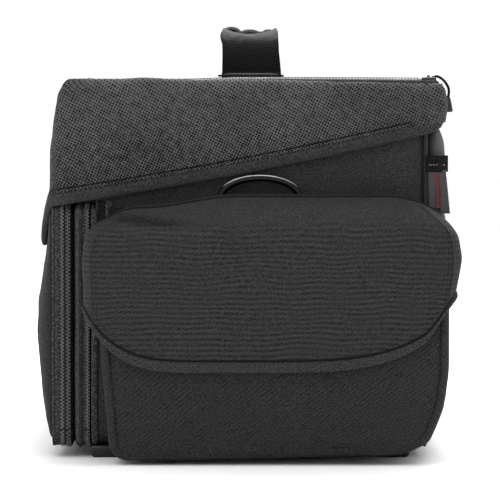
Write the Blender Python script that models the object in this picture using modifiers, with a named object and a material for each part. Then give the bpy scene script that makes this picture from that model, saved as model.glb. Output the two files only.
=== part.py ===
"""Motorcycle tail bag, built panel by panel with its lid, expander, side pockets and hardware.

Frame: +X towards the bag's back panel, -X towards its front compartment, Y along its length, +Z up.
The origin is on the ground under the bag's centre.  Driving dimensions are in millimetres and are
turned into metres where the shapes are made.
"""

import math

import bmesh
import bpy
from mathutils import Matrix, Vector

MM = 0.001
GAP = 0.3  # clearance between pieces that touch

# Body box
HALF_LENGTH = 158.0
BACK_X = 107.0
BAND_BOTTOM = 176.5
BAND_TOP = 186.5
LABEL_BOTTOM = 149.0
LABEL_TOP = 174.4
ZIP_PLANE_X = -96.7
BROW_X = -117.7
FOOT_HEIGHT = 7.0
FOOT_HALF = 11.0
PANEL = 4.0
TOP_Z = 228.0
BROW_Z = 154.0
PARTITION_X = -66.0
BOARD_SPACE = 3.2
LINING_WALL = 1.6

# Mesh hood and its slanted hem
HOOD = 3.0
HOOD_FRONT_X = -121.0
HOOD_BACK_X = 118.0
HOOD_TOP = 232.0
HOOD_CORNER = 8.0
HEM_FRONT_Z = 154.3
HEM_BACK_Z = 200.0
HEM_HEIGHT = 9.0
HEM_PROUD = 1.0
HEM_LOW_POINT = 146.0

# Top opening, lid and main zip
OPENING_FRONT_X = -99.0
OPENING_BACK_X = 114.0
OPENING_HALF_LENGTH = 155.0
ZIP_BAND = 11.0
LID_THICKNESS = 3.5
TAPE_BOTTOM = 229.0
TAPE_TOP = 230.2
CHAIN_TOP = 231.4
CHAIN_HALF = 1.4

# Main slider and its pull
SLIDER_Y = -147.0
PULL_X = 114.8
PULL_WIDTH = 2.6
PULL_HANG_X = 122.2
PULL_TAB_HALF = 2.6
SLIDER_TOP = 234.6

# Handle
HANDLE_X = 1.0
STRAP_WIDTH = 38.0
STRAP_THICKNESS = 2.4
HANDLE_HALF_SPAN = 74.0
HANDLE_TAIL = 30.0
HANDLE_TOP = 262.0
GRIP_HALF_LENGTH = 48.0
GRIP_BOTTOM = 254.5
GRIP_TOP = 267.0
GRIP_WIDTH = 34.0
PATCH_HALF_WIDTH = 21.0
PATCH_THICKNESS = 1.4

# Front compartment and expander
SLEEVE_DEPTH = 29.0
FRAME_OUT_X = -109.4
FRONT_PANEL_X = -113.2
FRONT_BULGE = 11.8
FRONT_TOP = 153.4
FRONT_WALL = 2.5
FRONT_BAND_WALL = 2.4
EXPANSION_ZIP_WIDTH = 4.9
DIVIDER_X = -103.4
FRONT_HINGE_Z = 7.0

# Side pockets
POCKET_LEFT = -86.0
POCKET_RIGHT = 118.0
POCKET_DEPTH = 204.0
POCKET_BOTTOM = 2.0
POCKET_MOUTH = 131.0
POCKET_WALL = 2.5
POCKET_BACK_TOP = 152.4
POCKET_BACK_Y = 168.7
FLAP_ROOT_Z = 160.0
FLAP_LEFT = -98.0
FLAP_RIGHT = 127.5
FLAP_FRONT_Y = 209.0
FLAP_HINGE_Y = 168.5
FLAP_HINGE_Z = 158.0
FLAP_THICKNESS = 2.6
FLAP_HEM = 7.0
FLAP_CORNER = 16.0
FLAP_LOW_X = -15.0  # where the hem hangs lowest
FLAP_LOW_Z = 52.5
FLAP_HEM_RISE = 33.0

# Hook and loop strips
STRIP_LEFT = -45.0
STRIP_RIGHT = 75.0

# D-rings
RING_X = 6.5
RING_WIDTH = 49.0
RING_WIRE = 4.0
RING_BAR_Z = 148.0
RING_TOP = 174.5
RING_Y = 163.4
TAB_HALF_WIDTH = 19.0
TAB_BOTTOM = 137.0

FEET = (
    ("front_near", -89.5, -143.0),
    ("front_far", -89.5, 143.0),
    ("back_near", 92.0, -143.0),
    ("back_far", 92.0, 143.0),
)

MATERIALS = {
    "canvas": ((0.026, 0.026, 0.028), 0.85, 0.0),
    "spacer_mesh": ((0.040, 0.040, 0.042), 0.80, 0.0),
    "binding": ((0.018, 0.018, 0.019), 0.75, 0.0),
    "lining": ((0.110, 0.112, 0.118), 0.80, 0.0),
    "foam": ((0.060, 0.060, 0.064), 0.95, 0.0),
    "webbing": ((0.016, 0.016, 0.017), 0.70, 0.0),
    "zip_tape": ((0.020, 0.020, 0.022), 0.75, 0.0),
    "zip_coil": ((0.030, 0.030, 0.032), 0.35, 0.0),
    "moulded_plastic": ((0.010, 0.010, 0.011), 0.30, 0.0),
    "zip_metal": ((0.050, 0.050, 0.054), 0.35, 0.9),
    "board": ((0.040, 0.040, 0.042), 0.55, 0.0),
    "hook_and_loop": ((0.022, 0.022, 0.024), 0.95, 0.0),
    "label_fabric": ((0.045, 0.045, 0.048), 0.80, 0.0),
}


def clear_scene():
    for old in list(bpy.data.objects):
        bpy.data.objects.remove(old, do_unlink=True)


def collection(name):
    made = bpy.data.collections.new(name)
    bpy.context.scene.collection.children.link(made)
    return made


def make_material(name):
    colour, roughness, metallic = MATERIALS[name]
    made = bpy.data.materials.new(name)
    made.use_nodes = True
    shader = made.node_tree.nodes["Principled BSDF"]
    shader.inputs["Base Color"].default_value = (*colour, 1.0)
    shader.inputs["Roughness"].default_value = roughness
    shader.inputs["Metallic"].default_value = metallic
    return made


clear_scene()
PARTS = collection("tail_bag")
CUTTERS = collection("cutters")
PAINT = {name: make_material(name) for name in MATERIALS}


# ---------------------------------------------------------------- helpers


def place(obj, home, paint=None):
    """Moves obj into one collection and gives it its material."""
    for current in list(obj.users_collection):
        current.objects.unlink(obj)
    home.objects.link(obj)
    if paint:
        obj.data.materials.clear()
        obj.data.materials.append(PAINT[paint])
    return obj


def new_box(name, low, high):
    """A cube primitive between two corners in millimetres, scale applied."""
    centre = [(a + b) / 2 * MM for a, b in zip(low, high)]
    size = [(b - a) * MM for a, b in zip(low, high)]
    bpy.ops.mesh.primitive_cube_add(size=1.0, location=centre)
    obj = bpy.context.object
    obj.name = name
    obj.data.name = name
    obj.data.transform(Matrix.Diagonal((*size, 1.0)))
    return obj


def box(name, low, high, paint, bevel=0.0, segments=2):
    obj = place(new_box(name, low, high), PARTS, paint)
    if bevel:
        rounding = obj.modifiers.new("rounding", "BEVEL")
        rounding.width = bevel * MM
        rounding.segments = segments
        rounding.limit_method = "ANGLE"
    return obj


def cutter_box(name, low, high):
    obj = place(new_box(name, low, high), CUTTERS)
    obj.hide_render = True
    obj.display_type = "WIRE"
    return obj


def cut(obj, cutter, operation="DIFFERENCE"):
    step = obj.modifiers.new(cutter.name, "BOOLEAN")
    step.operation = operation
    step.solver = "EXACT"
    step.object = cutter
    return obj


def shell(name, low, high, wall, open_sides, paint, bevel=0.0):
    """A box hollowed to a wall, with its open sides cut right through."""
    obj = box(name, low, high, paint, bevel)
    inner_low = [a + wall for a in low]
    inner_high = [b - wall for b in high]
    for side in open_sides:
        axis = "xyz".index(side[1])
        if side[0] == "+":
            inner_high[axis] = high[axis] + 10 * wall
        else:
            inner_low[axis] = low[axis] - 10 * wall
    return cut(obj, cutter_box("inside_" + name, inner_low, inner_high))


def joint_empty(name, x, y, z):
    """An empty on a joint's axis, that its moving pieces hang from."""
    empty = bpy.data.objects.new(name, None)
    empty.empty_display_size = 0.02
    empty.location = Vector((x, y, z)) * MM
    PARTS.objects.link(empty)
    return empty


def hang(parent, *children):
    """Parents pieces to a joint's empty, and leaves them where they are."""
    for child in children:
        child.parent = parent
        child.matrix_parent_inverse = Matrix.Translation(-parent.location)


def mirrored(obj, name):
    """The far side's copy of a near piece: its finished mesh, mirrored in the plane Y = 0."""
    bpy.context.view_layer.update()
    evaluated = obj.evaluated_get(bpy.context.evaluated_depsgraph_get())
    mesh = bpy.data.meshes.new_from_object(evaluated)
    mesh.name = name
    mesh.transform(Matrix.Diagonal((1.0, -1.0, 1.0, 1.0)) @ obj.matrix_world)
    mesh.flip_normals()
    twin = bpy.data.objects.new(name, mesh)
    PARTS.objects.link(twin)
    return twin


def smooth(obj, angle=35.0):
    obj.data.shade_smooth()
    obj.data.set_sharp_from_angle(angle=math.radians(angle))
    return obj


def surface(name, columns, rows, point, thickness, paint):
    """An open sheet laid out by point(u, v), made solid by a Solidify modifier."""
    mesh = bpy.data.meshes.new(name)
    work = bmesh.new()
    bmesh.ops.create_grid(work, x_segments=columns, y_segments=rows, size=0.5)
    for vert in work.verts:
        vert.co = Vector(point(vert.co.x + 0.5, vert.co.y + 0.5)) * MM
    work.to_mesh(mesh)
    work.free()
    obj = bpy.data.objects.new(name, mesh)
    place(obj, PARTS, paint)
    solid = obj.modifiers.new("thickness", "SOLIDIFY")
    solid.thickness = thickness * MM
    solid.offset = -1.0
    return smooth(obj)


# ---------------------------------------------------------------- body panels


def build_panels():
    floor_top = FOOT_HEIGHT + PANEL
    inside = HALF_LENGTH - PANEL - GAP
    box("bottom_panel", (ZIP_PLANE_X, -inside, FOOT_HEIGHT), (BACK_X, inside, floor_top), "canvas")
    for name, side in (("near", -1), ("far", 1)):
        ends = sorted((side * HALF_LENGTH, side * (HALF_LENGTH - PANEL)))
        box(
            f"end_panel_{name}",
            (ZIP_PLANE_X, ends[0], FOOT_HEIGHT),
            (BACK_X, ends[1], TOP_Z),
            "canvas",
        )
    box(
        "back_panel",
        (BACK_X - PANEL, -inside, floor_top + GAP),
        (BACK_X, inside, TOP_Z),
        "canvas",
    )
    box(
        "inner_front_panel",
        (PARTITION_X, -inside, floor_top + GAP),
        (PARTITION_X + PANEL, inside, BROW_Z - GAP),
        "canvas",
    )
    box(
        "brow_floor",
        (ZIP_PLANE_X + GAP, -inside, BROW_Z),
        (PARTITION_X + PANEL, inside, BROW_Z + PANEL),
        "canvas",
    )
    shell(
        "brow_panel",
        (BROW_X, -HALF_LENGTH, BROW_Z),
        (ZIP_PLANE_X - GAP, HALF_LENGTH, TOP_Z),
        PANEL,
        ("+x", "+z"),
        "canvas",
    )


def build_lining():
    """The stepped, open-topped lining of the main compartment, with the board under it."""
    half = HALF_LENGTH - PANEL - 2 * GAP
    low_z = FOOT_HEIGHT + PANEL + BOARD_SPACE
    wall = LINING_WALL
    lower = (PARTITION_X + PANEL + GAP, -half, low_z)
    upper = (BROW_X + PANEL + GAP, -half, BROW_Z + PANEL + GAP)
    high = (BACK_X - PANEL - GAP, half, TOP_Z - 1.0)
    lining = box("inner_lining", lower, high, "lining")
    cut(lining, cutter_box("lining_step", upper, high), "UNION")
    inner_low = [a + wall for a in lower]
    inner_up = [a + wall for a in upper]
    inner_high = (high[0] - wall, high[1] - wall, high[2] + 20.0)
    cut(lining, cutter_box("lining_lower_space", inner_low, inner_high))
    cut(lining, cutter_box("lining_upper_space", inner_up, inner_high))
    box(
        "base_board",
        (lower[0] + 1.0, -half + 1.0, FOOT_HEIGHT + PANEL + GAP),
        (high[0] - 1.0, half - 1.0, low_z - GAP),
        "board",
    )


def build_back():
    """The foam pad on the back panel, the webbing band round it and the blank side label."""
    pad_x = BACK_X + GAP
    box(
        "back_pad",
        (pad_x, -HALF_LENGTH + 2.0, FOOT_HEIGHT + 3.0),
        (HOOD_BACK_X - HOOD - GAP, HALF_LENGTH - 2.0, TOP_Z - GAP),
        "foam",
        bevel=3.2,
    )
    out_x = HOOD_BACK_X - HOOD + 1.7
    band = box(
        "back_webbing",
        (BACK_X - 1.0, -HALF_LENGTH - 2.0, BAND_BOTTOM),
        (out_x, HALF_LENGTH + 2.0, BAND_TOP),
        "webbing",
    )
    space = cutter_box(
        "band_space",
        (BACK_X - 10.0, -HALF_LENGTH - GAP, BAND_BOTTOM - 8.0),
        (out_x - 1.5, HALF_LENGTH + GAP, BAND_TOP + 8.0),
    )
    cut(band, space)
    box(
        "side_label",
        (BACK_X + 1.0, -HALF_LENGTH - 1.0, LABEL_BOTTOM),
        (BACK_X + 12.6, -HALF_LENGTH - 0.2, LABEL_TOP),
        "label_fabric",
    )


def build_feet():
    for name, x, y in FEET:
        box(
            f"foot_{name}",
            (x - FOOT_HALF, y - FOOT_HALF, 0.0),
            (x + FOOT_HALF, y + FOOT_HALF, FOOT_HEIGHT - GAP),
            "moulded_plastic",
            bevel=1.2,
        )


# ---------------------------------------------------------------- hood


def slanted_cutter(name, lift, height):
    """A slab with one slanted face along the hem: its bottom if height is positive, or its top."""
    run = HOOD_BACK_X - HOOD_FRONT_X
    slope = math.atan2(HEM_BACK_Z - HEM_FRONT_Z, run)
    middle_z = (HEM_FRONT_Z + HEM_BACK_Z) / 2 + lift
    middle_x = (HOOD_FRONT_X + HOOD_BACK_X) / 2
    reach = 220.0
    slab = cutter_box(name, (-reach, -reach, min(0.0, height)), (reach, reach, max(0.0, height)))
    slab.data.transform(Matrix.Translation(slab.location))
    slab.location = Vector((middle_x, 0.0, middle_z)) * MM
    slab.rotation_euler = (0.0, -slope, 0.0)
    return slab


def hood_ring(name, proud, low, high, paint):
    """A rectangular band round the top of the bag."""
    reach = HALF_LENGTH + GAP + HOOD + proud
    band = box(
        name,
        (HOOD_FRONT_X - proud, -reach, low),
        (HOOD_BACK_X + proud, reach, high),
        paint,
    )
    corner = band.modifiers.new("rounding", "BEVEL")
    corner.width = HOOD_CORNER * MM
    corner.segments = 3
    corner.limit_method = "ANGLE"
    space = cutter_box(
        "space_" + name,
        (BROW_X - GAP, -HALF_LENGTH - GAP, low - 20.0),
        (HOOD_BACK_X - HOOD, HALF_LENGTH + GAP, TOP_Z + GAP),
    )
    return cut(band, space)


def build_hood():
    hood = hood_ring("mesh_hood", 0.0, 140.0, HOOD_TOP, "spacer_mesh")
    cut(hood, slanted_cutter("above_hem", HEM_HEIGHT + GAP, -120.0))
    cut(
        hood,
        cutter_box(
            "top_opening",
            (OPENING_FRONT_X, -OPENING_HALF_LENGTH, TOP_Z - 20.0),
            (OPENING_BACK_X, OPENING_HALF_LENGTH, HOOD_TOP + 20.0),
        ),
    )
    hem = hood_ring("hood_hem", HEM_PROUD, HEM_LOW_POINT - 20.0, HOOD_TOP, "binding")
    cut(hem, slanted_cutter("below_hem", 0.0, -120.0))
    cut(hem, slanted_cutter("over_hem", HEM_HEIGHT, 160.0))


# ---------------------------------------------------------------- lid, zip and handle


def zip_band(name, outer, inner, low_z, high_z, paint):
    """A U-shaped strip along the near, back and far edges of the top opening."""
    front = OPENING_FRONT_X + 2.0
    strip = box(
        name,
        (front, -OPENING_HALF_LENGTH + outer, low_z),
        (OPENING_BACK_X - outer, OPENING_HALF_LENGTH - outer, high_z),
        paint,
    )
    space = cutter_box(
        "space_" + name,
        (front - 20.0, -OPENING_HALF_LENGTH + inner, low_z - 10.0),
        (OPENING_BACK_X - inner, OPENING_HALF_LENGTH - inner, high_z + 10.0),
    )
    return cut(strip, space)


def build_lid():
    half_band = ZIP_BAND / 2
    beside_chain = CHAIN_HALF + GAP
    tape_levels = (TAPE_BOTTOM, TAPE_TOP)
    zip_band("main_zip_body_tape", GAP, half_band - beside_chain, *tape_levels, "zip_tape")
    lid_low = HOOD_TOP - LID_THICKNESS
    panel = box(
        "lid_panel",
        (OPENING_FRONT_X + 1.0, -OPENING_HALF_LENGTH + ZIP_BAND, lid_low),
        (OPENING_BACK_X - ZIP_BAND, OPENING_HALF_LENGTH - ZIP_BAND, HOOD_TOP),
        "canvas",
    )
    tape = zip_band(
        "main_zip_lid_tape", half_band + beside_chain, ZIP_BAND - GAP, *tape_levels, "zip_tape"
    )
    chain = zip_band(
        "main_zip_chain",
        half_band - CHAIN_HALF,
        half_band + CHAIN_HALF,
        TAPE_BOTTOM,
        CHAIN_TOP,
        "zip_coil",
    )
    return [panel, tape, chain]


def handle_height(y):
    """The underside of the handle strap's leg: flat on the lid at its tail, then an arch."""
    low = HOOD_TOP + GAP
    across = abs(y) / HANDLE_HALF_SPAN
    return low + (HANDLE_TOP - STRAP_THICKNESS - low) * max(0.0, 1.0 - across**6) ** 0.5


def leg_point(u, v):
    """A point on the near leg, from its sewn tail at v 0 to the grip's end at v 1."""
    start = -HANDLE_HALF_SPAN - HANDLE_TAIL
    stop = -GRIP_HALF_LENGTH - GAP
    tail_share = 0.25
    bend = 0.5 - 0.5 * math.cos(math.pi * max(0.0, v - tail_share) / (1.0 - tail_share))
    y = start + HANDLE_TAIL * min(1.0, v / tail_share) + (stop + HANDLE_HALF_SPAN) * bend
    return (HANDLE_X + (u - 0.5) * STRAP_WIDTH, y, handle_height(y))


def build_handle():
    grip = box(
        "handle_grip",
        (HANDLE_X - GRIP_WIDTH / 2, -GRIP_HALF_LENGTH, GRIP_BOTTOM),
        (HANDLE_X + GRIP_WIDTH / 2, GRIP_HALF_LENGTH, GRIP_TOP),
        "binding",
        bevel=4.0,
        segments=3,
    )
    leg = surface("handle_leg_near", 1, 20, leg_point, STRAP_THICKNESS, "webbing")
    leg.modifiers["thickness"].offset = 1.0
    low_z = HOOD_TOP + GAP + STRAP_THICKNESS + GAP
    patch = box(
        "handle_patch_near",
        (HANDLE_X - PATCH_HALF_WIDTH, -HANDLE_HALF_SPAN - HANDLE_TAIL + 2.0, low_z),
        (HANDLE_X + PATCH_HALF_WIDTH, -HANDLE_HALF_SPAN - 4.0, low_z + PATCH_THICKNESS),
        "canvas",
    )
    far_leg = mirrored(leg, "handle_leg_far")
    far_patch = mirrored(patch, "handle_patch_far")
    return grip, leg, patch, far_leg, far_patch


def build_main_slider():
    """The main zip's slider, on the back run of the zip and parked at the near corner."""
    x = OPENING_BACK_X - ZIP_BAND / 2
    return box(
        "main_zip_slider",
        (x - 4.3, SLIDER_Y - 6.0, HOOD_TOP - 0.3),
        (x + 4.3, SLIDER_Y + 6.0, SLIDER_TOP),
        "zip_metal",
        bevel=0.8,
    )


def build_pull():
    """A closed cord loop that hangs over the bag's top edge and ends in a moulded tab."""
    top = Vector((PULL_X, SLIDER_Y, SLIDER_TOP))
    bottom = Vector((PULL_HANG_X, SLIDER_Y, SLIDER_TOP - 17.0))
    run = bottom - top
    bpy.ops.mesh.primitive_torus_add(
        location=(top + bottom) / 2 * MM,
        major_segments=20,
        minor_segments=6,
        major_radius=1.0,
        minor_radius=0.16,
    )
    loop = bpy.context.object
    loop.name = "main_zip_pull_cord"
    loop.data.name = loop.name
    loop.data.transform(Matrix.Diagonal((run.length / 2 * MM, PULL_WIDTH * MM, PULL_WIDTH * MM, 1.0)))
    loop.rotation_euler = (0.0, math.atan2(-run.z, run.x), 0.0)
    place(smooth(loop), PARTS, "webbing")
    tab_x = bottom.x + 0.4
    tab = box(
        "main_zip_pull_tab",
        (tab_x - PULL_TAB_HALF, SLIDER_Y - PULL_TAB_HALF, bottom.z - 8.4),
        (tab_x + PULL_TAB_HALF, SLIDER_Y + PULL_TAB_HALF, bottom.z - 1.6),
        "moulded_plastic",
        bevel=1.0,
    )
    return [loop, tab]


# ---------------------------------------------------------------- front compartment


def ring_wall(name, low_x, high_x, inset, wall, paint):
    """A rectangular band that runs round the front compartment, open along X."""
    half = HALF_LENGTH - inset
    low = (low_x, -half, FOOT_HEIGHT + inset)
    high = (high_x, half, FRONT_TOP - inset)
    return shell(name, low, high, wall, ("+x", "-x"), paint)


def build_front_section():
    sleeve = ring_wall(
        "expansion_gusset",
        ZIP_PLANE_X + GAP,
        ZIP_PLANE_X + SLEEVE_DEPTH,
        PANEL + 2 * GAP,
        1.4,
        "canvas",
    )
    zip_back = ZIP_PLANE_X - GAP
    zip_front = zip_back - EXPANSION_ZIP_WIDTH
    wall = FRONT_BAND_WALL
    expansion_zip = ring_wall("expansion_zip", zip_front, zip_back, 0.0, wall, "zip_coil")
    binding = ring_wall(
        "binding_tape", FRAME_OUT_X + GAP, zip_front - GAP, 0.0, wall, "binding"
    )
    divider = box(
        "front_divider",
        (DIVIDER_X, -HALF_LENGTH + wall + GAP, FOOT_HEIGHT + wall + GAP),
        (DIVIDER_X + 2.0, HALF_LENGTH - wall - GAP, FRONT_TOP - wall - GAP),
        "lining",
    )
    return [sleeve, expansion_zip, binding, divider]


def bulge_depth(along):
    """How far the front panel stands out at a height share from its bottom, 0 to 1."""
    return FRONT_BULGE * (1.0 - abs(1.7 * along - 0.62) ** 2.6 * 0.62)


def front_point(u, v):
    half = HALF_LENGTH - 2.0
    low = FOOT_HEIGHT + 1.0
    side = 2 * u - 1
    edge = (1.0 - abs(side) ** 10) ** 0.5
    foot = 1.0 - (1.0 - v) ** 9
    head = 1.0 - 0.35 * v ** 9
    depth = bulge_depth(v) * (0.22 + 0.78 * edge * foot) * head
    return (FRONT_PANEL_X - depth, side * half, low + v * (FRONT_TOP - 1.0 - low))


def build_front_panel():
    panel = surface("front_panel", 18, 16, front_point, FRONT_WALL, "canvas")
    rim = ring_wall("front_zip", FRONT_PANEL_X + GAP, FRAME_OUT_X, 0.0, 3.0, "zip_coil")
    return [panel, rim]


def build_front_sliders():
    """The two sliders of the front zips, parked high on the far end."""
    parts = []
    places = (
        ("front_zip_slider", FRAME_OUT_X - 0.4),
        ("expansion_zip_slider", ZIP_PLANE_X - 2.6),
    )
    for name, x in places:
        slider = box(
            name,
            (x - 3.0, HALF_LENGTH + GAP, 128.0),
            (x + 3.0, HALF_LENGTH + 3.2, 139.0),
            "zip_metal",
            bevel=0.8,
        )
        parts.append(slider)
    return parts


# ---------------------------------------------------------------- side pockets


def build_pouch():
    """The near pocket's pouch: front, ends, bottom and back in one tray, open at its mouth."""
    pouch = box(
        "pocket_near",
        (POCKET_LEFT, -POCKET_DEPTH, POCKET_BOTTOM),
        (POCKET_RIGHT, -HALF_LENGTH - GAP, POCKET_BACK_TOP),
        "canvas",
        bevel=5.0,
        segments=3,
    )
    front = -POCKET_DEPTH + POCKET_WALL
    back = -HALF_LENGTH - GAP - POCKET_WALL
    step = -POCKET_BACK_Y - POCKET_WALL
    low = POCKET_BOTTOM + POCKET_WALL
    high = POCKET_BACK_TOP + 20.0
    slot_half = RING_WIDTH / 2 + 5.5
    slot_floor = RING_BAR_Z - 12.0
    left = POCKET_LEFT + POCKET_WALL
    right = POCKET_RIGHT - POCKET_WALL
    step_left = RING_X - slot_half - POCKET_WALL
    step_right = RING_X + slot_half + POCKET_WALL
    spaces = (
        ("pocket_space", (left, front, low), (right, step, high)),
        ("pocket_low_back", (left, step - 1.0, low), (right, back, slot_floor - POCKET_WALL)),
        ("pocket_left_back", (left, step - 1.0, low), (step_left, back, high)),
        ("pocket_right_back", (step_right, step - 1.0, low), (right, back, high)),
        ("pocket_mouth", (left - 20.0, -POCKET_DEPTH - 20.0, POCKET_MOUTH), (right + 20.0, step, high)),
        ("pocket_shoulder", (BACK_X - 2.0, step - 20.0, POCKET_MOUTH), (right + 20.0, 0.0, high)),
        (
            "ring_slot",
            (RING_X - slot_half, -POCKET_BACK_Y, slot_floor),
            (RING_X + slot_half, -HALF_LENGTH + 20.0, high),
        ),
    )
    for name, corner, far_corner in spaces:
        cut(pouch, cutter_box(name, corner, far_corner))
    return pouch


def flap_hem_z(x):
    """The height of the flap's curved lower edge."""
    reach = 137.0 if x > FLAP_LOW_X else 83.0
    return FLAP_LOW_Z + FLAP_HEM_RISE * min(1.25, abs((x - FLAP_LOW_X) / reach)) ** 5


def flap_plan(u, depth):
    """A point (x, y) on the flap's U-shaped plan section: end, corner, front, corner, end."""
    radius = min(FLAP_CORNER, depth * 0.8)
    width = FLAP_RIGHT - FLAP_LEFT
    ends = depth - radius
    arc = math.pi / 2 * radius
    front = width - 2 * radius
    total = 2 * ends + 2 * arc + front
    distance = u * total
    back = -FLAP_HINGE_Y - 1.0
    mirrored_side = distance > total / 2
    if mirrored_side:
        distance = total - distance
    if distance < ends:
        x, y = 0.0, back - distance
    elif distance < ends + arc:
        turn = (distance - ends) / radius
        x = radius * (1 - math.cos(turn))
        y = back - ends - radius * math.sin(turn)
    else:
        x = radius + distance - ends - arc
        y = back - depth
    if mirrored_side:
        return FLAP_RIGHT - x, y
    return FLAP_LEFT + x, y


def flap_point(u, height):
    """A point on the flap's outer skin at a plan share u and a height share, 1 at the root."""
    full = FLAP_FRONT_Y - FLAP_HINGE_Y - 1.0
    lift = max(0.0, (height - 0.66) / 0.34)
    depth = full * math.sqrt(max(0.0, 1.0 - lift ** 2.2)) + 3.0 * lift
    x, y = flap_plan(u, depth)
    middle = (FLAP_LEFT + FLAP_RIGHT) / 2
    pinch = 1.0 - 0.14 * lift ** 1.5
    x = middle - 4.75 * lift + (x - middle) * pinch
    low = flap_hem_z(x)
    top = FLAP_ROOT_Z - 3.0 * ((x - middle) / 110.0) ** 2
    return x, y, low + (top - low) * height


def build_flap():
    hem_share = FLAP_HEM / (FLAP_ROOT_Z - 53.0)
    flap = surface(
        "flap_near",
        22,
        12,
        lambda u, v: flap_point(u, hem_share * 1.2 + v * (1.0 - hem_share * 1.2)),
        FLAP_THICKNESS,
        "canvas",
    )
    hem = surface(
        "flap_hem_near",
        22,
        1,
        lambda u, v: flap_point(u, v * hem_share),
        FLAP_THICKNESS,
        "binding",
    )
    return [flap, hem]


def build_fasteners():
    """The hook strip inside the near flap and the loop strip on the pouch under it."""
    loop_strip = box(
        "loop_strip_near",
        (STRIP_LEFT, -POCKET_DEPTH - 1.3, 70.0),
        (STRIP_RIGHT, -POCKET_DEPTH - GAP, 95.0),
        "hook_and_loop",
    )
    hook_strip = box(
        "hook_strip_near",
        (STRIP_LEFT, -POCKET_DEPTH - 2.3, 72.0),
        (STRIP_RIGHT, -POCKET_DEPTH - 1.5, 93.0),
        "hook_and_loop",
    )
    return loop_strip, hook_strip


def build_ring():
    """The near D-ring: a straight bar under a round bow."""
    half = (RING_WIDTH - RING_WIRE) / 2
    bar = RING_BAR_Z
    top = RING_TOP - RING_WIRE / 2
    spring_line = bar + 6.0
    points = [(-half, bar), (-half, spring_line)]
    steps = 12
    for step in range(1, steps):
        turn = math.pi * (1 - step / steps)
        points.append((half * math.cos(turn), spring_line + (top - spring_line) * math.sin(turn)))
    points += [(half, spring_line), (half, bar)]
    curve = bpy.data.curves.new("d_ring_near", "CURVE")
    curve.dimensions = "3D"
    curve.bevel_depth = RING_WIRE / 2 * MM
    curve.bevel_resolution = 2
    line = curve.splines.new("POLY")
    line.points.add(len(points) - 1)
    line.use_cyclic_u = True
    for target, (x, z) in zip(line.points, points):
        target.co = ((RING_X + x) * MM, -RING_Y * MM, z * MM, 1.0)
    ring = bpy.data.objects.new("d_ring_near", curve)
    return place(ring, PARTS, "moulded_plastic")


def build_ring_tab():
    """The webbing tab that folds round the ring's bar and runs down behind the pocket."""
    low_y = -RING_Y - RING_WIRE / 2 - 1.9
    tab = box(
        "d_ring_tab_near",
        (RING_X - TAB_HALF_WIDTH, low_y, TAB_BOTTOM),
        (RING_X + TAB_HALF_WIDTH, -HALF_LENGTH - GAP - 0.2, RING_BAR_Z + 3.9),
        "webbing",
    )
    space = cutter_box(
        "ring_bar_space",
        (RING_X - 40.0, -RING_Y - RING_WIRE / 2 - 0.5, RING_BAR_Z - 2.5),
        (RING_X + 40.0, -RING_Y + RING_WIRE / 2 + 0.5, RING_BAR_Z + 2.5),
    )
    return cut(tab, space)


def build_side_pockets():
    pouch = build_pouch()
    flap, hem = build_flap()
    loop_strip, hook_strip = build_fasteners()
    ring = build_ring()
    tab = build_ring_tab()
    fixed = [pouch, loop_strip, tab]
    moving = [flap, hem, hook_strip]
    far = {}
    for piece in fixed + moving + [ring]:
        far[piece.name] = mirrored(piece, piece.name.replace("near", "far"))
    near_empty = joint_empty("near_flap_axis", 8.0, -FLAP_HINGE_Y, FLAP_HINGE_Z)
    far_empty = joint_empty("far_flap_axis", 8.0, FLAP_HINGE_Y, FLAP_HINGE_Z)
    hang(near_empty, *moving)
    hang(far_empty, *(far[piece.name] for piece in moving))
    hang(joint_empty("near_ring_axis", RING_X, -RING_Y, RING_BAR_Z), ring)
    hang(joint_empty("far_ring_axis", RING_X, RING_Y, RING_BAR_Z), far[ring.name])


# ---------------------------------------------------------------- assembly


def main():
    build_panels()
    build_lining()
    build_back()
    build_feet()
    build_hood()
    grip, *handle_ends = build_handle()
    lid_axis = joint_empty("lid_axis", OPENING_FRONT_X + 1.0, 0.0, HOOD_TOP + GAP)
    hang(lid_axis, *build_lid(), *handle_ends)
    hang(joint_empty("handle_axis", HANDLE_X, 0.0, HANDLE_TOP), grip)
    chain_x = OPENING_BACK_X - ZIP_BAND / 2
    hang(joint_empty("main_slider_axis", chain_x, SLIDER_Y, HOOD_TOP), build_main_slider())
    hang(joint_empty("pull_axis", PULL_X, SLIDER_Y, SLIDER_TOP), *build_pull())
    hang(joint_empty("expansion_axis", ZIP_PLANE_X, 0.0, FOOT_HEIGHT), *build_front_section())
    hang(joint_empty("front_panel_axis", FRAME_OUT_X, 0.0, FRONT_HINGE_Z), *build_front_panel())
    build_front_sliders()
    build_side_pockets()


main()
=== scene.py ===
"""Looks of a soft motorcycle tail bag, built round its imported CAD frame.

Positions are in millimetres in the part's own frame: +X towards the back panel, Y along the
bag, +Z up from the ground.  Every cloth piece carries a map named "cloth", in millimetres.
"""

import math

import bmesh
import bpy
from mathutils import Matrix, Vector, noise


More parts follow.
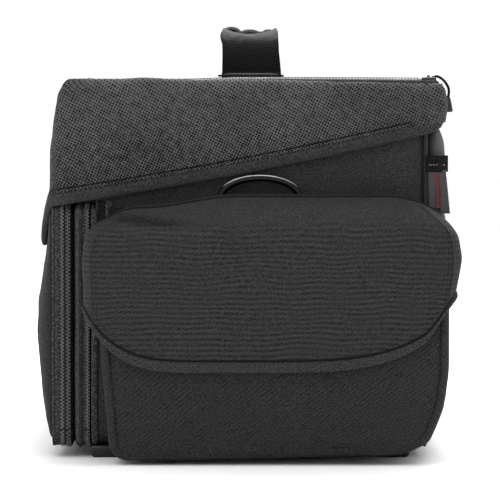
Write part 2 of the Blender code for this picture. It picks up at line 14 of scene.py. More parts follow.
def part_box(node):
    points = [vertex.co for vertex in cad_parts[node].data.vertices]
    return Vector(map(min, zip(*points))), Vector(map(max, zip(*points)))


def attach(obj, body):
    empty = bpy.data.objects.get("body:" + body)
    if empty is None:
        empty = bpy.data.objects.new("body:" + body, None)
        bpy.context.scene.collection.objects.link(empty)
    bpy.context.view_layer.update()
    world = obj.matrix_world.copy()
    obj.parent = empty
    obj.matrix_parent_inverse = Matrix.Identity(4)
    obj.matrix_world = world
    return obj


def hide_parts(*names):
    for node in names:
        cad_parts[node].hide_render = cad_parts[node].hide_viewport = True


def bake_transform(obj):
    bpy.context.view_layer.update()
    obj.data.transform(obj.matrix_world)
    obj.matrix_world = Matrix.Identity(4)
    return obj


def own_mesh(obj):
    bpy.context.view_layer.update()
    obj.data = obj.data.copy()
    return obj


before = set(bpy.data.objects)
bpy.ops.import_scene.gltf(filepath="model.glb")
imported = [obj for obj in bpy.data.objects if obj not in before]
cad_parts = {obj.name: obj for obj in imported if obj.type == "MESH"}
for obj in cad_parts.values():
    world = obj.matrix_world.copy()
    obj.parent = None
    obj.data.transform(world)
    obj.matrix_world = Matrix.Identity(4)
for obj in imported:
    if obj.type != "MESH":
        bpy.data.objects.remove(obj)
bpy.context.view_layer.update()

MM = 0.001
TAU = 2 * math.pi
UP = Vector((0, 0, 1))
RIGHT = Vector((1, 0, 0))

# Body: half its length, its back panel, its expansion zip, its floor and its lid's plane.
HALF = 158.0
BACK_X = 107.0
ZIP_X = -96.7
FLOOR_Z = 7.0
TOP_Z = 232.0

# Hood, and the opening that the main zip runs round.
HOOD_FRONT = -121.0
HOOD_BACK = BACK_X + 11.0
HOOD_HALF = HALF + 3.6
HOOD_WALL = 0.66
HOOD_ROLL = 0.92
HEM_TALL = 9.6
OPEN_FRONT = HOOD_FRONT + 22.0
OPEN_BACK = HOOD_BACK - 4.0
OPEN_HALF = HALF - 3.0

# Front compartment, from the expansion zip forward: binding tape, groove, front zip, cover.
BINDING_X = -103.6
GROOVE_X = -107.3
FRONT_ZIP_X = -112.0
COVER_BACK_X = -118.9
COVER_RIM_X = -119.6
COVER_LOW = 7.6

# Side pocket, and the flap that stands out round it.
POCKET_LEFT = -88.0
POCKET_RIGHT = 117.5
POCKET_DEEP = 45.0
POCKET_Y = HALF + POCKET_DEEP
POCKET_LOW = 3.2
POCKET_HIGH = 130.0
FLAP_LEFT = POCKET_LEFT - 14.2
FLAP_RIGHT = POCKET_RIGHT + 9.8
FLAP_ROOT_Y = HALF + 11.2
FLAP_FRONT_Y = POCKET_Y + 6.5
FLAP_ROOT_Z = 160.5
FLAP_HEM = 6.6

# Inside faces of the lining, and the heights where it starts and steps over the front compartment.
LINING_HALF = HALF - 5.0
LINING_FRONT = -60.5
LINING_BACK = BACK_X - 4.5
LINING_LONG = LINING_BACK - LINING_FRONT
LINING_LOW = 16.0
LINING_STEP = 159.3

RING_X = 6.1
RING_WIRE = 2.15
RING_TAB_BEND = 4.0
HANDLE_X = 0.5
HANDLE_BASE_Y = 74.0
GRIP_HALF = 47.5
PATCH_Z = 232.3


# ------------------------------------------------------------------ small sums


def clamp(value, low=0.0, high=1.0):
    """The value, kept between low and high."""
    return max(low, min(high, value))


def ease(low, high, value):
    """0 below low, 1 above high, and a smooth rise between them."""
    share = clamp((value - low) / (high - low))
    return share * share * (3 - 2 * share)


def bump(value, centre, width):
    """A smooth hill of height 1 and about that half width."""
    return math.exp(-(((value - centre) / width) ** 2))


def ripple(x, y, z, size):
    """Smooth noise, -1 to 1, with features of that size in millimetres."""
    return noise.noise(Vector((x, y, z)) / size)


# ------------------------------------------------------------------ materials


class Paint:
    """A procedural material.

    x and y are millimetres along the cloth.  where, side_x and height_z are metres in the frame.
    """

    def __init__(self, name, roughness=0.8, sheen=0.0, coat=0.0, metallic=0.0, specular=0.13):
        self.material = bpy.data.materials.new(name)
        self.material.use_nodes = True
        self.nodes = self.material.node_tree.nodes
        self.links = self.material.node_tree.links
        self.shader = self.nodes["Principled BSDF"]
        looks = {"Roughness": roughness, "Metallic": metallic, "Specular IOR Level": specular,
                 "Sheen Weight": sheen, "Sheen Roughness": 0.5, "Coat Weight": coat, "Coat Roughness": 0.15}
        for socket, value in looks.items():
            self.shader.inputs[socket].default_value = value
        cloth = self.nodes.new("ShaderNodeUVMap")
        cloth.uv_map = "cloth"
        split = self.nodes.new("ShaderNodeSeparateXYZ")
        self.links.new(cloth.outputs["UV"], split.inputs[0])
        self.x, self.y = split.outputs[0], split.outputs[1]
        self.where = self.nodes.new("ShaderNodeTexCoord").outputs["Object"]
        axes = self.nodes.new("ShaderNodeSeparateXYZ")
        self.links.new(self.where, axes.inputs[0])
        self.side_x, self.height_z = axes.outputs[0], axes.outputs[2]

    def put(self, socket, value):
        """Sets a socket to a number or a colour, or links it to another node's output."""
        if isinstance(value, (int, float)):
            socket.default_value = value
        elif isinstance(value, tuple):
            socket.default_value = (*value, 1.0)
        else:
            self.links.new(value, socket)

    def sum(self, operation, *values):
        node = self.nodes.new("ShaderNodeMath")
        node.operation = operation
        for socket, value in zip(node.inputs, values):
            self.put(socket, value)
        return node.outputs[0]

    def plus(self, value, other):
        return self.sum("ADD", value, other)

    def times(self, value, other):
        return self.sum("MULTIPLY", value, other)

    def scaled(self, value, by, then):
        """value times by, plus then."""
        return self.sum("MULTIPLY_ADD", value, by, then)

    def apart(self, value, other):
        """How far two values are from each other."""
        return self.sum("ABSOLUTE", self.sum("SUBTRACT", value, other))

    def wave(self, value, pitch):
        """-1 to 1 along value, once for each pitch."""
        return self.sum("SINE", self.times(value, TAU / pitch))

    def span(self, value, low, high, to_low=0.0, to_high=1.0):
        """A smooth change from to_low to to_high as value goes from low to high."""
        node = self.nodes.new("ShaderNodeMapRange")
        node.interpolation_type = "SMOOTHSTEP"
        for socket, number in zip(node.inputs, (value, low, high, to_low, to_high)):
            self.put(socket, number)
        return node.outputs[0]

    def noise(self, size, detail=2.0, stretch=None):
        """Noise from 0 to 1 with features of that size in millimetres."""
        node = self.nodes.new("ShaderNodeTexNoise")
        node.inputs["Scale"].default_value = 1.0 / (size * MM)
        node.inputs["Detail"].default_value = detail
        if stretch:
            scale = self.nodes.new("ShaderNodeVectorMath")
            scale.operation = "MULTIPLY"
            self.links.new(self.where, scale.inputs[0])
            scale.inputs[1].default_value = stretch
            self.links.new(scale.outputs[0], node.inputs["Vector"])
        else:
            self.links.new(self.where, node.inputs["Vector"])
        return node.outputs[0]

    def blend(self, share, low, high):
        """The colour between two colours."""
        node = self.nodes.new("ShaderNodeMix")
        node.data_type = "RGBA"
        self.put(node.inputs["Factor"], share)
        self.put(node.inputs["A"], low)
        self.put(node.inputs["B"], high)
        return node.outputs["Result"]

    def done(self, colour, height=None, depth=0.3, roughness=None):
        """Joins the colour, the height in units of depth millimetres, and the roughness."""
        self.put(self.shader.inputs["Base Color"], colour)
        if roughness is not None:
            self.put(self.shader.inputs["Roughness"], roughness)
        if height is not None:
            relief = self.nodes.new("ShaderNodeBump")
            relief.inputs["Strength"].default_value = 1.0
            relief.inputs["Distance"].default_value = depth * MM
            self.links.new(height, relief.inputs["Height"])
            self.links.new(relief.outputs[0], self.shader.inputs["Normal"])
        return self.material


def grey(level, warm=0.0):
    """A grey that leans a little to blue, or to red when it is warm."""
    return (level * (1 + warm), level, level * (1 - warm * 0.6 + 0.03))


def weave_height(paint, pitch):
    """The crossings of a plain weave, -1 to 1, and its threads, 0 in the gaps and 1 on top."""
    across = paint.times(paint.wave(paint.x, 2 * pitch), paint.wave(paint.y, 2 * pitch))
    return across, paint.sum("POWER", paint.sum("ABSOLUTE", across), 0.6)


def flap_ribs(paint, rib):
    """Soft level ribs, clear on the flap's face and fading in patches and towards its root."""
    uneven = paint.scaled(paint.noise(34.0, 1.0), 7.0, paint.times(paint.height_z, 1000.0))
    strength = paint.span(paint.height_z, 0.148, 0.134, 0.04, 0.55)
    faded = paint.times(strength, paint.span(paint.noise(15.0, 2.0), 0.3, 0.6, 0.3, 1.0))
    return paint.times(paint.times(paint.wave(uneven, rib), 0.75), faded)


def crease_shade(paint):
    """Painted shade: a darker band in the slanting crease at the flap's upper left, as a change of tone."""
    wander = paint.scaled(paint.noise(16.0, 1.0), 3.0, paint.times(paint.height_z, 1000.0))
    slanting = paint.scaled(paint.side_x, 130.0, wander)
    near = paint.span(paint.apart(slanting, 138.0), 5.0, 0.5)
    across = paint.span(paint.apart(paint.side_x, -0.063), 0.027, 0.012)
    return paint.times(paint.times(near, across), -0.28)


def canvas_paint(name, level, pitch=1.15, rib=0.0, slant=1.9, fade=0.3):
    """Dense polyester canvas: a fine weave, a faint slanting line, dust and faded patches.

    With a rib, it is the flap's cloth, which has ribs and a crease too, with painted shade along the crease.
    """
    paint = Paint(name, roughness=0.72)
    crossing, threads = weave_height(paint, pitch)
    height = paint.scaled(crossing, 0.25, paint.times(threads, 0.6))
    line = paint.scaled(paint.x, -0.8, paint.y)
    broken = paint.times(paint.wave(line, slant), paint.span(paint.noise(3.5, 2.0), 0.35, 0.65))
    height = paint.scaled(broken, 0.34, height)
    if rib:
        height = paint.plus(flap_ribs(paint, rib), height)
    patches = paint.noise(46.0, 4.0)
    fibres = paint.span(paint.noise(1.15, 2.0), 0.3, 0.7)
    tone = paint.scaled(patches, fade, paint.scaled(fibres, 0.36, -0.14))
    tone = paint.scaled(paint.span(height, -0.5, 1.5), 0.7, tone)
    # Painted shade in the flap's crease.
    if rib:
        tone = paint.plus(tone, crease_shade(paint))
    colour = paint.blend(tone, grey(level * 0.08), grey(level * 2.5, 0.015))
    rough = paint.span(patches, 0.3, 0.7, 0.62, 0.86)
    return paint.done(colour, height, 0.3, rough)


def spacer_paint():
    """Thick knitted spacer mesh: light yarn round staggered dark holes whose columns lean."""
    paint = Paint("spacer_mesh", roughness=0.7)
    across, down = 1.85, 1.62
    wander = paint.scaled(paint.noise(9.0, 2.0), 1.3, -0.65)
    lean = paint.plus(paint.scaled(paint.y, -0.45, paint.x), wander)
    column = paint.sum("DIVIDE", lean, across)
    offset = paint.times(paint.sum("MODULO", paint.sum("FLOOR", column), 2.0), 0.5)
    row = paint.plus(paint.sum("DIVIDE", paint.plus(paint.y, wander), down), offset)
    side = paint.apart(paint.sum("FRACT", column), 0.5)
    rise = paint.apart(paint.sum("FRACT", row), 0.5)
    squares = paint.plus(paint.sum("POWER", side, 2.0), paint.sum("POWER", rise, 2.0))
    reach = paint.sum("SQRT", squares)
    wobble = paint.scaled(paint.noise(4.0, 3.0), 0.5, -0.25)
    size = paint.plus(paint.span(paint.height_z, 0.166, 0.226, 0.33, 0.24), wobble)
    yarn = paint.span(paint.sum("SUBTRACT", reach, size), -0.10, 0.16)
    knit = paint.wave(paint.plus(paint.x, paint.y), 0.7)
    height = paint.scaled(knit, 0.06, yarn)
    patches = paint.noise(34.0, 3.0)
    knots = paint.noise(1.4, 2.0)
    tone = paint.scaled(knots, 0.9, paint.scaled(patches, 0.5, -0.25))
    tone = paint.sum("SUBTRACT", tone, paint.span(paint.side_x, 0.02, 0.11, 0.0, 0.14))
    light = paint.blend(tone, grey(0.022), grey(0.130, 0.01))
    return paint.done(paint.blend(yarn, grey(0.002), light), height, 0.5)


def twill_paint(name, level, pitch=1.7, roughness=0.62, slope=1.0, hue=(1.0, 1.0, 1.0)):
    """Smooth folded tape with a fine slanting twill."""
    paint = Paint(name, roughness=roughness)
    line = paint.scaled(paint.y, slope, paint.x)
    twill = paint.wave(line, pitch)
    patches = paint.noise(24.0, 3.0)
    tone = paint.scaled(twill, 0.4, paint.scaled(patches, 0.5, 0.15))
    dark, light = (tuple(level * share * part for part in hue) for share in (0.3, 1.8))
    return paint.done(paint.blend(tone, dark, light), twill, 0.12)


def tape_paint(name, level, column=1.75, row=1.3, slope=1.0):
    """A zip's knitted tape: columns of short slanting stitches that run along it."""
    paint = Paint(name, roughness=0.6)
    share = paint.sum("FRACT", paint.sum("DIVIDE", paint.y, column))
    side = paint.apart(share, 0.5)
    ridge = paint.wave(paint.scaled(side, slope, paint.x), row)
    inside = paint.span(side, 0.5, 0.32)
    height = paint.times(paint.scaled(ridge, 0.45, 0.55), inside)
    specks = paint.span(paint.noise(1.3, 2.0), 0.44, 0.66)
    tone = paint.scaled(specks, 0.6, paint.scaled(height, 0.36, 0.08))
    return paint.done(paint.blend(tone, grey(level * 0.14), grey(level * 2.2)), height, 0.25)


def herringbone_paint(name, level, pitch=1.5, leg=2.4):
    """Tape woven in a herringbone, with legs that run along it."""
    paint = Paint(name, roughness=0.66)
    fold = paint.sum("PINGPONG", paint.y, leg)
    twill = paint.wave(paint.plus(paint.x, fold), pitch)
    patches = paint.noise(20.0, 3.0)
    specks = paint.span(paint.noise(1.2, 2.0), 0.4, 0.7, -0.3, 0.3)
    tone = paint.plus(specks, paint.scaled(twill, 0.3, paint.scaled(patches, 0.3, 0.3)))
    return paint.done(paint.blend(tone, grey(level * 0.3), grey(level * 1.8)), twill, 0.3)


def webbing_paint(name, level, rib=1.3):
    """Flat nylon webbing: ribs across it, a slow herringbone, and painted light that blends it to a light
    grey near its top.
    """
    paint = Paint(name, roughness=0.8, specular=0.06)
    slant = paint.scaled(paint.sum("PINGPONG", paint.x, 4.75), 0.16, paint.y)
    ribs = paint.wave(slant, rib)
    picks = paint.wave(paint.x, 0.8)
    height = paint.scaled(picks, 0.2, ribs)
    patches = paint.noise(18.0, 3.0)
    tone = paint.scaled(ribs, 0.27, paint.scaled(patches, 0.35, 0.3))
    colour = paint.blend(tone, grey(level * 0.5), grey(level * 1.7))
    # Painted light: above about 254 to 263 mm the colour blends to a light grey, so the handle's top reads
    # lit.
    painted_top_light = paint.plus(paint.height_z, paint.scaled(paint.noise(5.0, 2.0), 0.006, -0.003))
    return paint.done(paint.blend(paint.span(painted_top_light, 0.2535, 0.2625), colour, grey(0.105)), height, 0.14)


def moulded_paint(name, level, roughness=0.28, coat=0.3, metallic=0.0, grain=0.9):
    """Moulded plastic or cast metal: fine grain, handling marks and lighter worn patches."""
    paint = Paint(name, roughness=roughness, coat=coat, metallic=metallic, specular=0.4)
    texture = paint.noise(grain, 4.0)
    scuffs = paint.noise(7.0, 5.0, (1.0, 1.0, 0.35))
    tone = paint.span(scuffs, 0.45, 0.75)
    rough = paint.span(scuffs, 0.3, 0.75, roughness * 0.8, roughness * 1.7)
    return paint.done(paint.blend(tone, grey(level), grey(level * 1.7)), texture, 0.05, rough)


def ring_highlight_paint():
    """Black enamelled wire, with a painted highlight along its upper shoulders."""
    paint = Paint("ring_gloss", roughness=0.2, coat=0.12, specular=0.15)
    facing = paint.nodes.new("ShaderNodeSeparateXYZ")
    paint.links.new(paint.nodes.new("ShaderNodeNewGeometry").outputs["Normal"], facing.inputs[0])
    # Painted highlight: where the normal's height is near 0.8 the base colour turns light grey, in broken
    # patches.
    off = paint.apart(facing.outputs[2], 0.80)
    painted_highlight = paint.times(paint.span(off, 0.21, 0.02), paint.span(paint.noise(9.0, 3.0), 0.3, 0.6, 0.6, 1.0))
    texture = paint.noise(0.9, 4.0)
    return paint.done(paint.blend(painted_highlight, grey(0.002), grey(0.50)), texture, 0.03)


def quilt_paint(name, level, pitch=1.0):
    """Light lining cloth with a fine ripstop grid."""
    paint = Paint(name, roughness=0.6, sheen=0.05)
    _, threads = weave_height(paint, pitch)
    grid = paint.sum("MAXIMUM", paint.wave(paint.x, 7.0), paint.wave(paint.y, 7.0))
    rib = paint.span(grid, 0.93, 1.0)
    height = paint.scaled(rib, 1.2, threads)
    patches = paint.noise(40.0, 3.0)
    tone = paint.scaled(patches, 0.6, paint.times(rib, 0.3))
    return paint.done(paint.blend(tone, grey(level * 0.7), grey(level * 1.4)), height, 0.1)


def foam_paint():
    """Closed padding cloth with a soft brushed face."""
    paint = Paint("foam_pad", roughness=0.92, sheen=0.05)
    pile = paint.noise(0.9, 5.0)
    patches = paint.noise(30.0, 3.0)
    tone = paint.scaled(pile, 0.4, paint.times(patches, 0.5))
    return paint.done(paint.blend(tone, grey(0.035), grey(0.10)), pile, 0.35)


def hook_paint():
    """Hook-and-loop strip: a field of fine hooks."""
    paint = Paint("hook_and_loop", roughness=0.95, sheen=0.05)
    hooks = paint.noise(0.7, 5.0)
    rows = paint.wave(paint.height_z, 0.0016)
    height = paint.scaled(rows, 0.3, hooks)
    return paint.done(paint.blend(hooks, grey(0.006), grey(0.05)), height, 0.6)


def floor_paint():
    """The studio's matt white floor."""
    paint = Paint("studio_floor", roughness=0.9, specular=0.2)
    return paint.done(paint.blend(paint.noise(900.0, 2.0), (0.95, 0.95, 0.95), (0.97, 0.97, 0.97)))


CANVAS = canvas_paint("canvas", 0.0258)
CANVAS_RIBBED = canvas_paint("canvas_ribbed", 0.0197, rib=3.05)
CANVAS_SLANT = canvas_paint("canvas_slanting", 0.0172, slant=3.0)
# A much darker copy of the canvas for inner and recessed pieces: painted shade.
CANVAS_SHADED = canvas_paint("canvas_inside", 0.008, fade=0.2)
SPACER = spacer_paint()
HEM = canvas_paint("hem_tape", 0.0275, pitch=1.0, slant=2.1, fade=0.25)
BINDING = herringbone_paint("binding", 0.078, pitch=1.5, leg=1.7)
WEBBING = webbing_paint("webbing", 0.0085, 1.2)
# A much lighter copy of the webbing for the grip's rolls and lips: painted light where they catch the top
# light.
WEBBING_LIT = webbing_paint("webbing_edge", 0.085, 1.2)
TAPE = tape_paint("zip_tape", 0.041)
TAPE_DARK = tape_paint("zip_tape_dark", 0.026, slope=-1.0)
TAPE_LIGHT = twill_paint("zip_tape_light", 0.30, pitch=1.1, slope=2.2)
COIL = moulded_paint("zip_coil", 0.012, 0.42, 0.1)
TEETH = moulded_paint("zip_teeth", 0.05, 0.4, 0.1)
TEETH_PALE = moulded_paint("zip_teeth_pale", 0.078, 0.4, 0.1)
# The main zip's coil is coloured light grey, partly its own colour and partly a painted glint along the lid's
# edge.
COIL_PALE_AND_GLINT = moulded_paint("zip_coil_bright", 0.40, 0.25, 0.5)
RING_PAINTED_HIGHLIGHT = ring_highlight_paint()
PLASTIC = moulded_paint("moulded_plastic", 0.003, 0.3, 0.08)
METAL = moulded_paint("zip_metal", 0.03, 0.3, 0.2, metallic=0.8)
BOARD = moulded_paint("board", 0.04, 0.5, 0.0)
LINING = quilt_paint("lining", 0.09)
FOAM = foam_paint()
HOOKS = hook_paint()
LABEL = twill_paint("label_fabric", 0.078, pitch=0.8)
THREAD = twill_paint("thread", 0.030, pitch=0.5, roughness=0.5)
# A near-black cord laid in the grooves above the hems: painted shade.
GROOVE_SHADE = twill_paint("thread_dark", 0.006, pitch=0.5, roughness=0.5)
THREAD_PALE = twill_paint("thread_pale", 0.13, pitch=0.5, roughness=0.5)
THREAD_RED = twill_paint("thread_red", 0.16, pitch=0.5, roughness=0.5, hue=(2.6, 0.3, 0.3))


# ------------------------------------------------------------------ mesh tools


def bake(obj):
    """Applies the object's modifiers to its mesh."""
    bpy.context.view_layer.update()
    evaluated = obj.evaluated_get(bpy.context.evaluated_depsgraph_get())
    made = bpy.data.meshes.new_from_object(evaluated)
    obj.modifiers.clear()
    obj.data = made


def register(obj, paint, body, stands_for=()):
    """Gives a piece its material, body and material slot, and the CAD nodes it stands for."""
    obj.data.materials.clear()
    obj.data.materials.append(paint)
    if body:
        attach(obj, body)
    if stands_for:
        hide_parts(*stands_for)
    return obj


def new_object(name, mesh):
    """A smooth-shaded object in the scene for a mesh."""
    obj = bpy.data.objects.new(name, mesh)
    bpy.context.scene.collection.objects.link(obj)
    mesh.shade_smooth()
    return obj


def sheet(name, point, columns, rows, paint, body, stands_for=(),
          loop=False, thick=0.0, outward=-1.0, weld=False, cloth=None):
    """A smooth surface of point(u, v) in millimetres, with a cloth map in millimetres.

    loop closes it along u, weld joins points that meet, and thick gives it a thickness on the
    side that outward picks: 1 with its normals, -1 against them, 0 both ways.
    """
    spots = [[Vector(point(i / columns, j / rows)) for i in range(columns + 1)] for j in range(rows + 1)]
    across = columns if loop else columns + 1
    verts = [spots[j][i] * MM for j in range(rows + 1) for i in range(across)]
    faces = []
    for j in range(rows):
        for i in range(columns):
            k = (i + 1) % across
            faces.append((j * across + i, j * across + k, (j + 1) * across + k, (j + 1) * across + i))
    mesh = bpy.data.meshes.new(name)
    mesh.from_pydata(verts, [], faces)
    lengths_u, lengths_v = [0.0], [0.0]
    for i in range(columns):
        middle = spots[rows // 2]
        lengths_u.append(lengths_u[-1] + (middle[i + 1] - middle[i]).length)
    for j in range(rows):
        here, there = spots[j][columns // 2], spots[j + 1][columns // 2]
        lengths_v.append(lengths_v[-1] + (there - here).length)
    layer = mesh.uv_layers.new(name="cloth")
    corner = 0
    for j in range(rows):
        for i in range(columns):
            for di, dj in ((0, 0), (1, 0), (1, 1), (0, 1)):
                if cloth:
                    layer.data[corner].uv = cloth((i + di) / columns, (j + dj) / rows)
                else:
                    layer.data[corner].uv = (lengths_u[i + di], lengths_v[j + dj])
                corner += 1
    if weld:
        work = bmesh.new()
        work.from_mesh(mesh)
        bmesh.ops.remove_doubles(work, verts=work.verts, dist=1e-6)
        work.to_mesh(mesh)
        work.free()
    obj = new_object(name, mesh)
    if thick:
        solid = obj.modifiers.new("thickness", "SOLIDIFY")
        solid.thickness = thick * MM
        solid.offset = outward
        bake(obj)
        obj.data.shade_smooth()
    return register(obj, paint, body, stands_for)


def tube(name, line, radius, paint, body, stands_for=(), sides=8, closed=False, flat=1.0):
    """A round or flattened tube along a line of points in millimetres."""
    points = [Vector(p) for p in line]
    count = len(points)

    def heading(i):
        if closed:
            return (points[(i + 1) % count] - points[i - 1]).normalized()
        return (points[min(i + 1, count - 1)] - points[max(i - 1, 0)]).normalized()

    side = heading(0).orthogonal().normalized()
    frames = []
    for i in range(count):
        along = heading(i)
        side = (side - along * side.dot(along)).normalized()
        frames.append((side.copy(), along.cross(side)))

    def point(u, v):
        i = round(v * (count if closed else count - 1)) % count
        a, b = frames[i]
        turn = TAU * u
        return points[i] + (a * math.cos(turn) + b * math.sin(turn) * flat) * radius

    obj = sheet(name, point, sides, count if closed else count - 1, paint, None, loop=True, weld=closed)
    if not closed:
        work = bmesh.new()
        work.from_mesh(obj.data)
        bmesh.ops.holes_fill(work, edges=[e for e in work.edges if e.is_boundary], sides=0)
        work.to_mesh(obj.data)
        work.free()
        obj.data.shade_smooth()
    return register(obj, paint, body, stands_for)


def block(name, low, high, bevel, paint, body, stands_for=(), segments=3, shape=None):
    """A block with rounded edges between two corners in millimetres, bent by shape(point)."""
    work = bmesh.new()
    bmesh.ops.create_cube(work, size=1.0)
    for vert in work.verts:
        for axis in range(3):
            share = vert.co[axis] + 0.5
            vert.co[axis] = low[axis] + (high[axis] - low[axis]) * share
    bmesh.ops.bevel(work, geom=work.edges[:], offset=bevel, segments=segments, profile=0.5, affect="EDGES")
    for vert in work.verts:
        spot = shape(vert.co.copy()) if shape else vert.co
        vert.co = Vector(spot) * MM
    mesh = bpy.data.meshes.new(name)
    work.to_mesh(mesh)
    work.free()
    layer = mesh.uv_layers.new(name="cloth")
    for face in mesh.polygons:
        axis = max(range(3), key=lambda a: abs(face.normal[a]))
        others = [a for a in range(3) if a != axis]
        for corner in face.loop_indices:
            spot = mesh.vertices[mesh.loops[corner].vertex_index].co / MM
            layer.data[corner].uv = (spot[others[0]], spot[others[1]])
    obj = new_object(name, mesh)
    obj.data.set_sharp_from_angle(angle=math.radians(50))
    return register(obj, paint, body, stands_for)


def running_lengths(points):
    """How far along a line each of its points is."""
    lengths = [0.0]
    for a, b in zip(points, points[1:]):
        lengths.append(lengths[-1] + (b - a).length)
    return lengths


def resample(points, pitch):
    """Evenly spaced points along a line."""
    points = [Vector(p) for p in points]
    lengths = running_lengths(points)
    count = max(1, round(lengths[-1] / pitch))
    made, k = [], 0
    for step in range(count + 1):
        goal = lengths[-1] * step / count
        while k < len(points) - 2 and lengths[k + 1] < goal:
            k += 1
        run = lengths[k + 1] - lengths[k]
        made.append(points[k].lerp(points[k + 1], clamp((goal - lengths[k]) / run if run else 0.0)))
    return made


def along_line(points):
    """A function of share 0 to 1 that gives a point on a line, and the line's length."""
    points = [Vector(p) for p in points]
    lengths = running_lengths(points)

    def at(share):
        goal = share * lengths[-1]
        k = max(i for i in range(len(points) - 1) if lengths[i] <= goal + 1e-9)
        return points[k].lerp(points[k + 1], (goal - lengths[k]) / (lengths[k + 1] - lengths[k]))

    return at, lengths[-1]


# One stitch is four rings of points: a share of its length, and a share of its radius.
STITCH_RINGS = ((-0.5, 0.35), (-0.25, 0.9), (0.25, 0.9), (0.5, 0.35))
STITCH_SIDES = 5
THREADS = {}


def stitch(body, line, pitch=3.4, length=2.5, radius=0.34, paint=None):
    """A row of stitches along a line, each a short thread that dives in at both ends."""
    spots = resample(line, pitch)
    key = (body, (paint or THREAD).name)
    verts, faces = THREADS.setdefault(key, ([], []))
    for a, b in zip(spots, spots[1:]):
        middle = (a + b) / 2
        along = (b - a).normalized()
        side = along.orthogonal().normalized()
        other = along.cross(side)
        base = len(verts)
        for share, thick in STITCH_RINGS:
            centre = middle + along * length * share
            for k in range(STITCH_SIDES):
                turn = TAU * k / STITCH_SIDES
                reach = side * math.cos(turn) + other * math.sin(turn)
                verts.append((centre + reach * radius * thick) * MM)
        for start in range(base, base + (len(STITCH_RINGS) - 1) * STITCH_SIDES, STITCH_SIDES):
            for k in range(STITCH_SIDES):
                m = (k + 1) % STITCH_SIDES
                faces.append((start + k, start + m, start + STITCH_SIDES + m, start + STITCH_SIDES + k))
        faces.append(tuple(base + k for k in reversed(range(STITCH_SIDES))))
        faces.append(tuple(len(verts) - STITCH_SIDES + k for k in range(STITCH_SIDES)))


def stitch_box(body, corners, pitch, length, radius):
    """A row of stitches along each side of a line of corners."""
    for a, b in zip(corners, corners[1:]):
        stitch(body, [a, b], pitch, length, radius)


def sew_threads():
    """Makes one mesh of all the stitches on each body, for each thread colour."""
    for (body, colour), (verts, faces) in sorted(THREADS.items()):
        mesh = bpy.data.meshes.new("stitches")
        mesh.from_pydata(verts, [], faces)
        mesh.uv_layers.new(name="cloth")
        obj = new_object(f"stitches_{colour}_{body}", mesh)
        register(obj, bpy.data.materials[colour], body)


def mirror_y(obj, name, body, stands_for=()):
    """The far end's copy of a near piece."""
    mesh = obj.data.copy()
    mesh.transform(Matrix.Diagonal((1, -1, 1, 1)))
    mesh.flip_normals()
    twin = bpy.data.objects.new(name, mesh)
    bpy.context.scene.collection.objects.link(twin)
    return register(twin, obj.data.materials[0], body, stands_for)


def both_ends(near, body, nodes=()):
    """Rides a near piece and its far copy, each standing for its own end's CAD nodes."""
    register(near, near.data.materials[0], body, nodes)
    far_name, far_body = near.name.replace("near", "far"), body.replace("near", "far")
    mirror_y(near, far_name, far_body, [node.replace("near", "far") for node in nodes])


def rounded(corners):
    """A closed outline from (x, y, radius) corners: points with their outward normals."""
    outline = []
    count = len(corners)
    for i, (x, y, radius) in enumerate(corners):
        here = Vector((x, y))
        before = (Vector(corners[i - 1][:2]) - here).normalized()
        after = (Vector(corners[(i + 1) % count][:2]) - here).normalized()
        centre = here + (before + after) * radius
        steps = 10
        for k in range(steps + 1):
            turn = math.pi / 2 * k / steps
            normal = -(after * math.cos(turn) + before * math.sin(turn))
            outline.append((centre + normal * radius, normal))
    return outline


def along_outline(outline, closed=True):
    """A function of share 0 to 1 that gives a point and its normal on an outline, and its length."""
    points = outline + outline[:1] if closed else outline
    lengths = running_lengths([spot for spot, _ in points])

    def at(share):
        goal = (share % 1.0 if closed and share < 1.0 else min(share, 1.0)) * lengths[-1]
        low, high = 0, len(points) - 2
        while low < high:
            middle = (low + high + 1) // 2
            if lengths[middle] <= goal:
                low = middle
            else:
                high = middle - 1
        run = lengths[low + 1] - lengths[low]
        part = (goal - lengths[low]) / run if run > 1e-9 else 0.0
        spot = points[low][0].lerp(points[low + 1][0], part)
        normal = points[low][1].lerp(points[low + 1][1], part)
        return spot, normal.normalized()

    return at, lengths[-1]


# ------------------------------------------------------------------ body shell


def body_sag(x, y, z):
    """How far the sewn body stands in or out of its flat panels."""
    slow = ripple(x + 31, y * 0.3 + 7, z, 55.0)
    return 0.9 * slow + 0.35 * ripple(x, y + 50, z * 2.2, 21.0)


def body_section():
    """A walk in YZ down the near wall, along the floor and up the far wall, with rounded corners."""
    corner = 11.0
    turns = [math.pi / 20 * k for k in range(11)]
    edge, foot = HALF - corner, FLOOR_Z + corner
    outline = [(-HALF, TOP_Z - 4, -1, 0)]
    for turn in turns:
        ny, nz = -math.cos(turn), -math.sin(turn)
        outline.append((-edge + corner * ny, foot + corner * nz, ny, nz))
    for turn in turns:
        ny, nz = math.sin(turn), -math.cos(turn)
        outline.append((edge + corner * ny, foot + corner * nz, ny, nz))
    outline.append((HALF, TOP_Z - 4, 1, 0))
    return along_outline([(Vector((y, z)), Vector((ny, nz))) for y, z, ny, nz in outline], closed=False)[0]


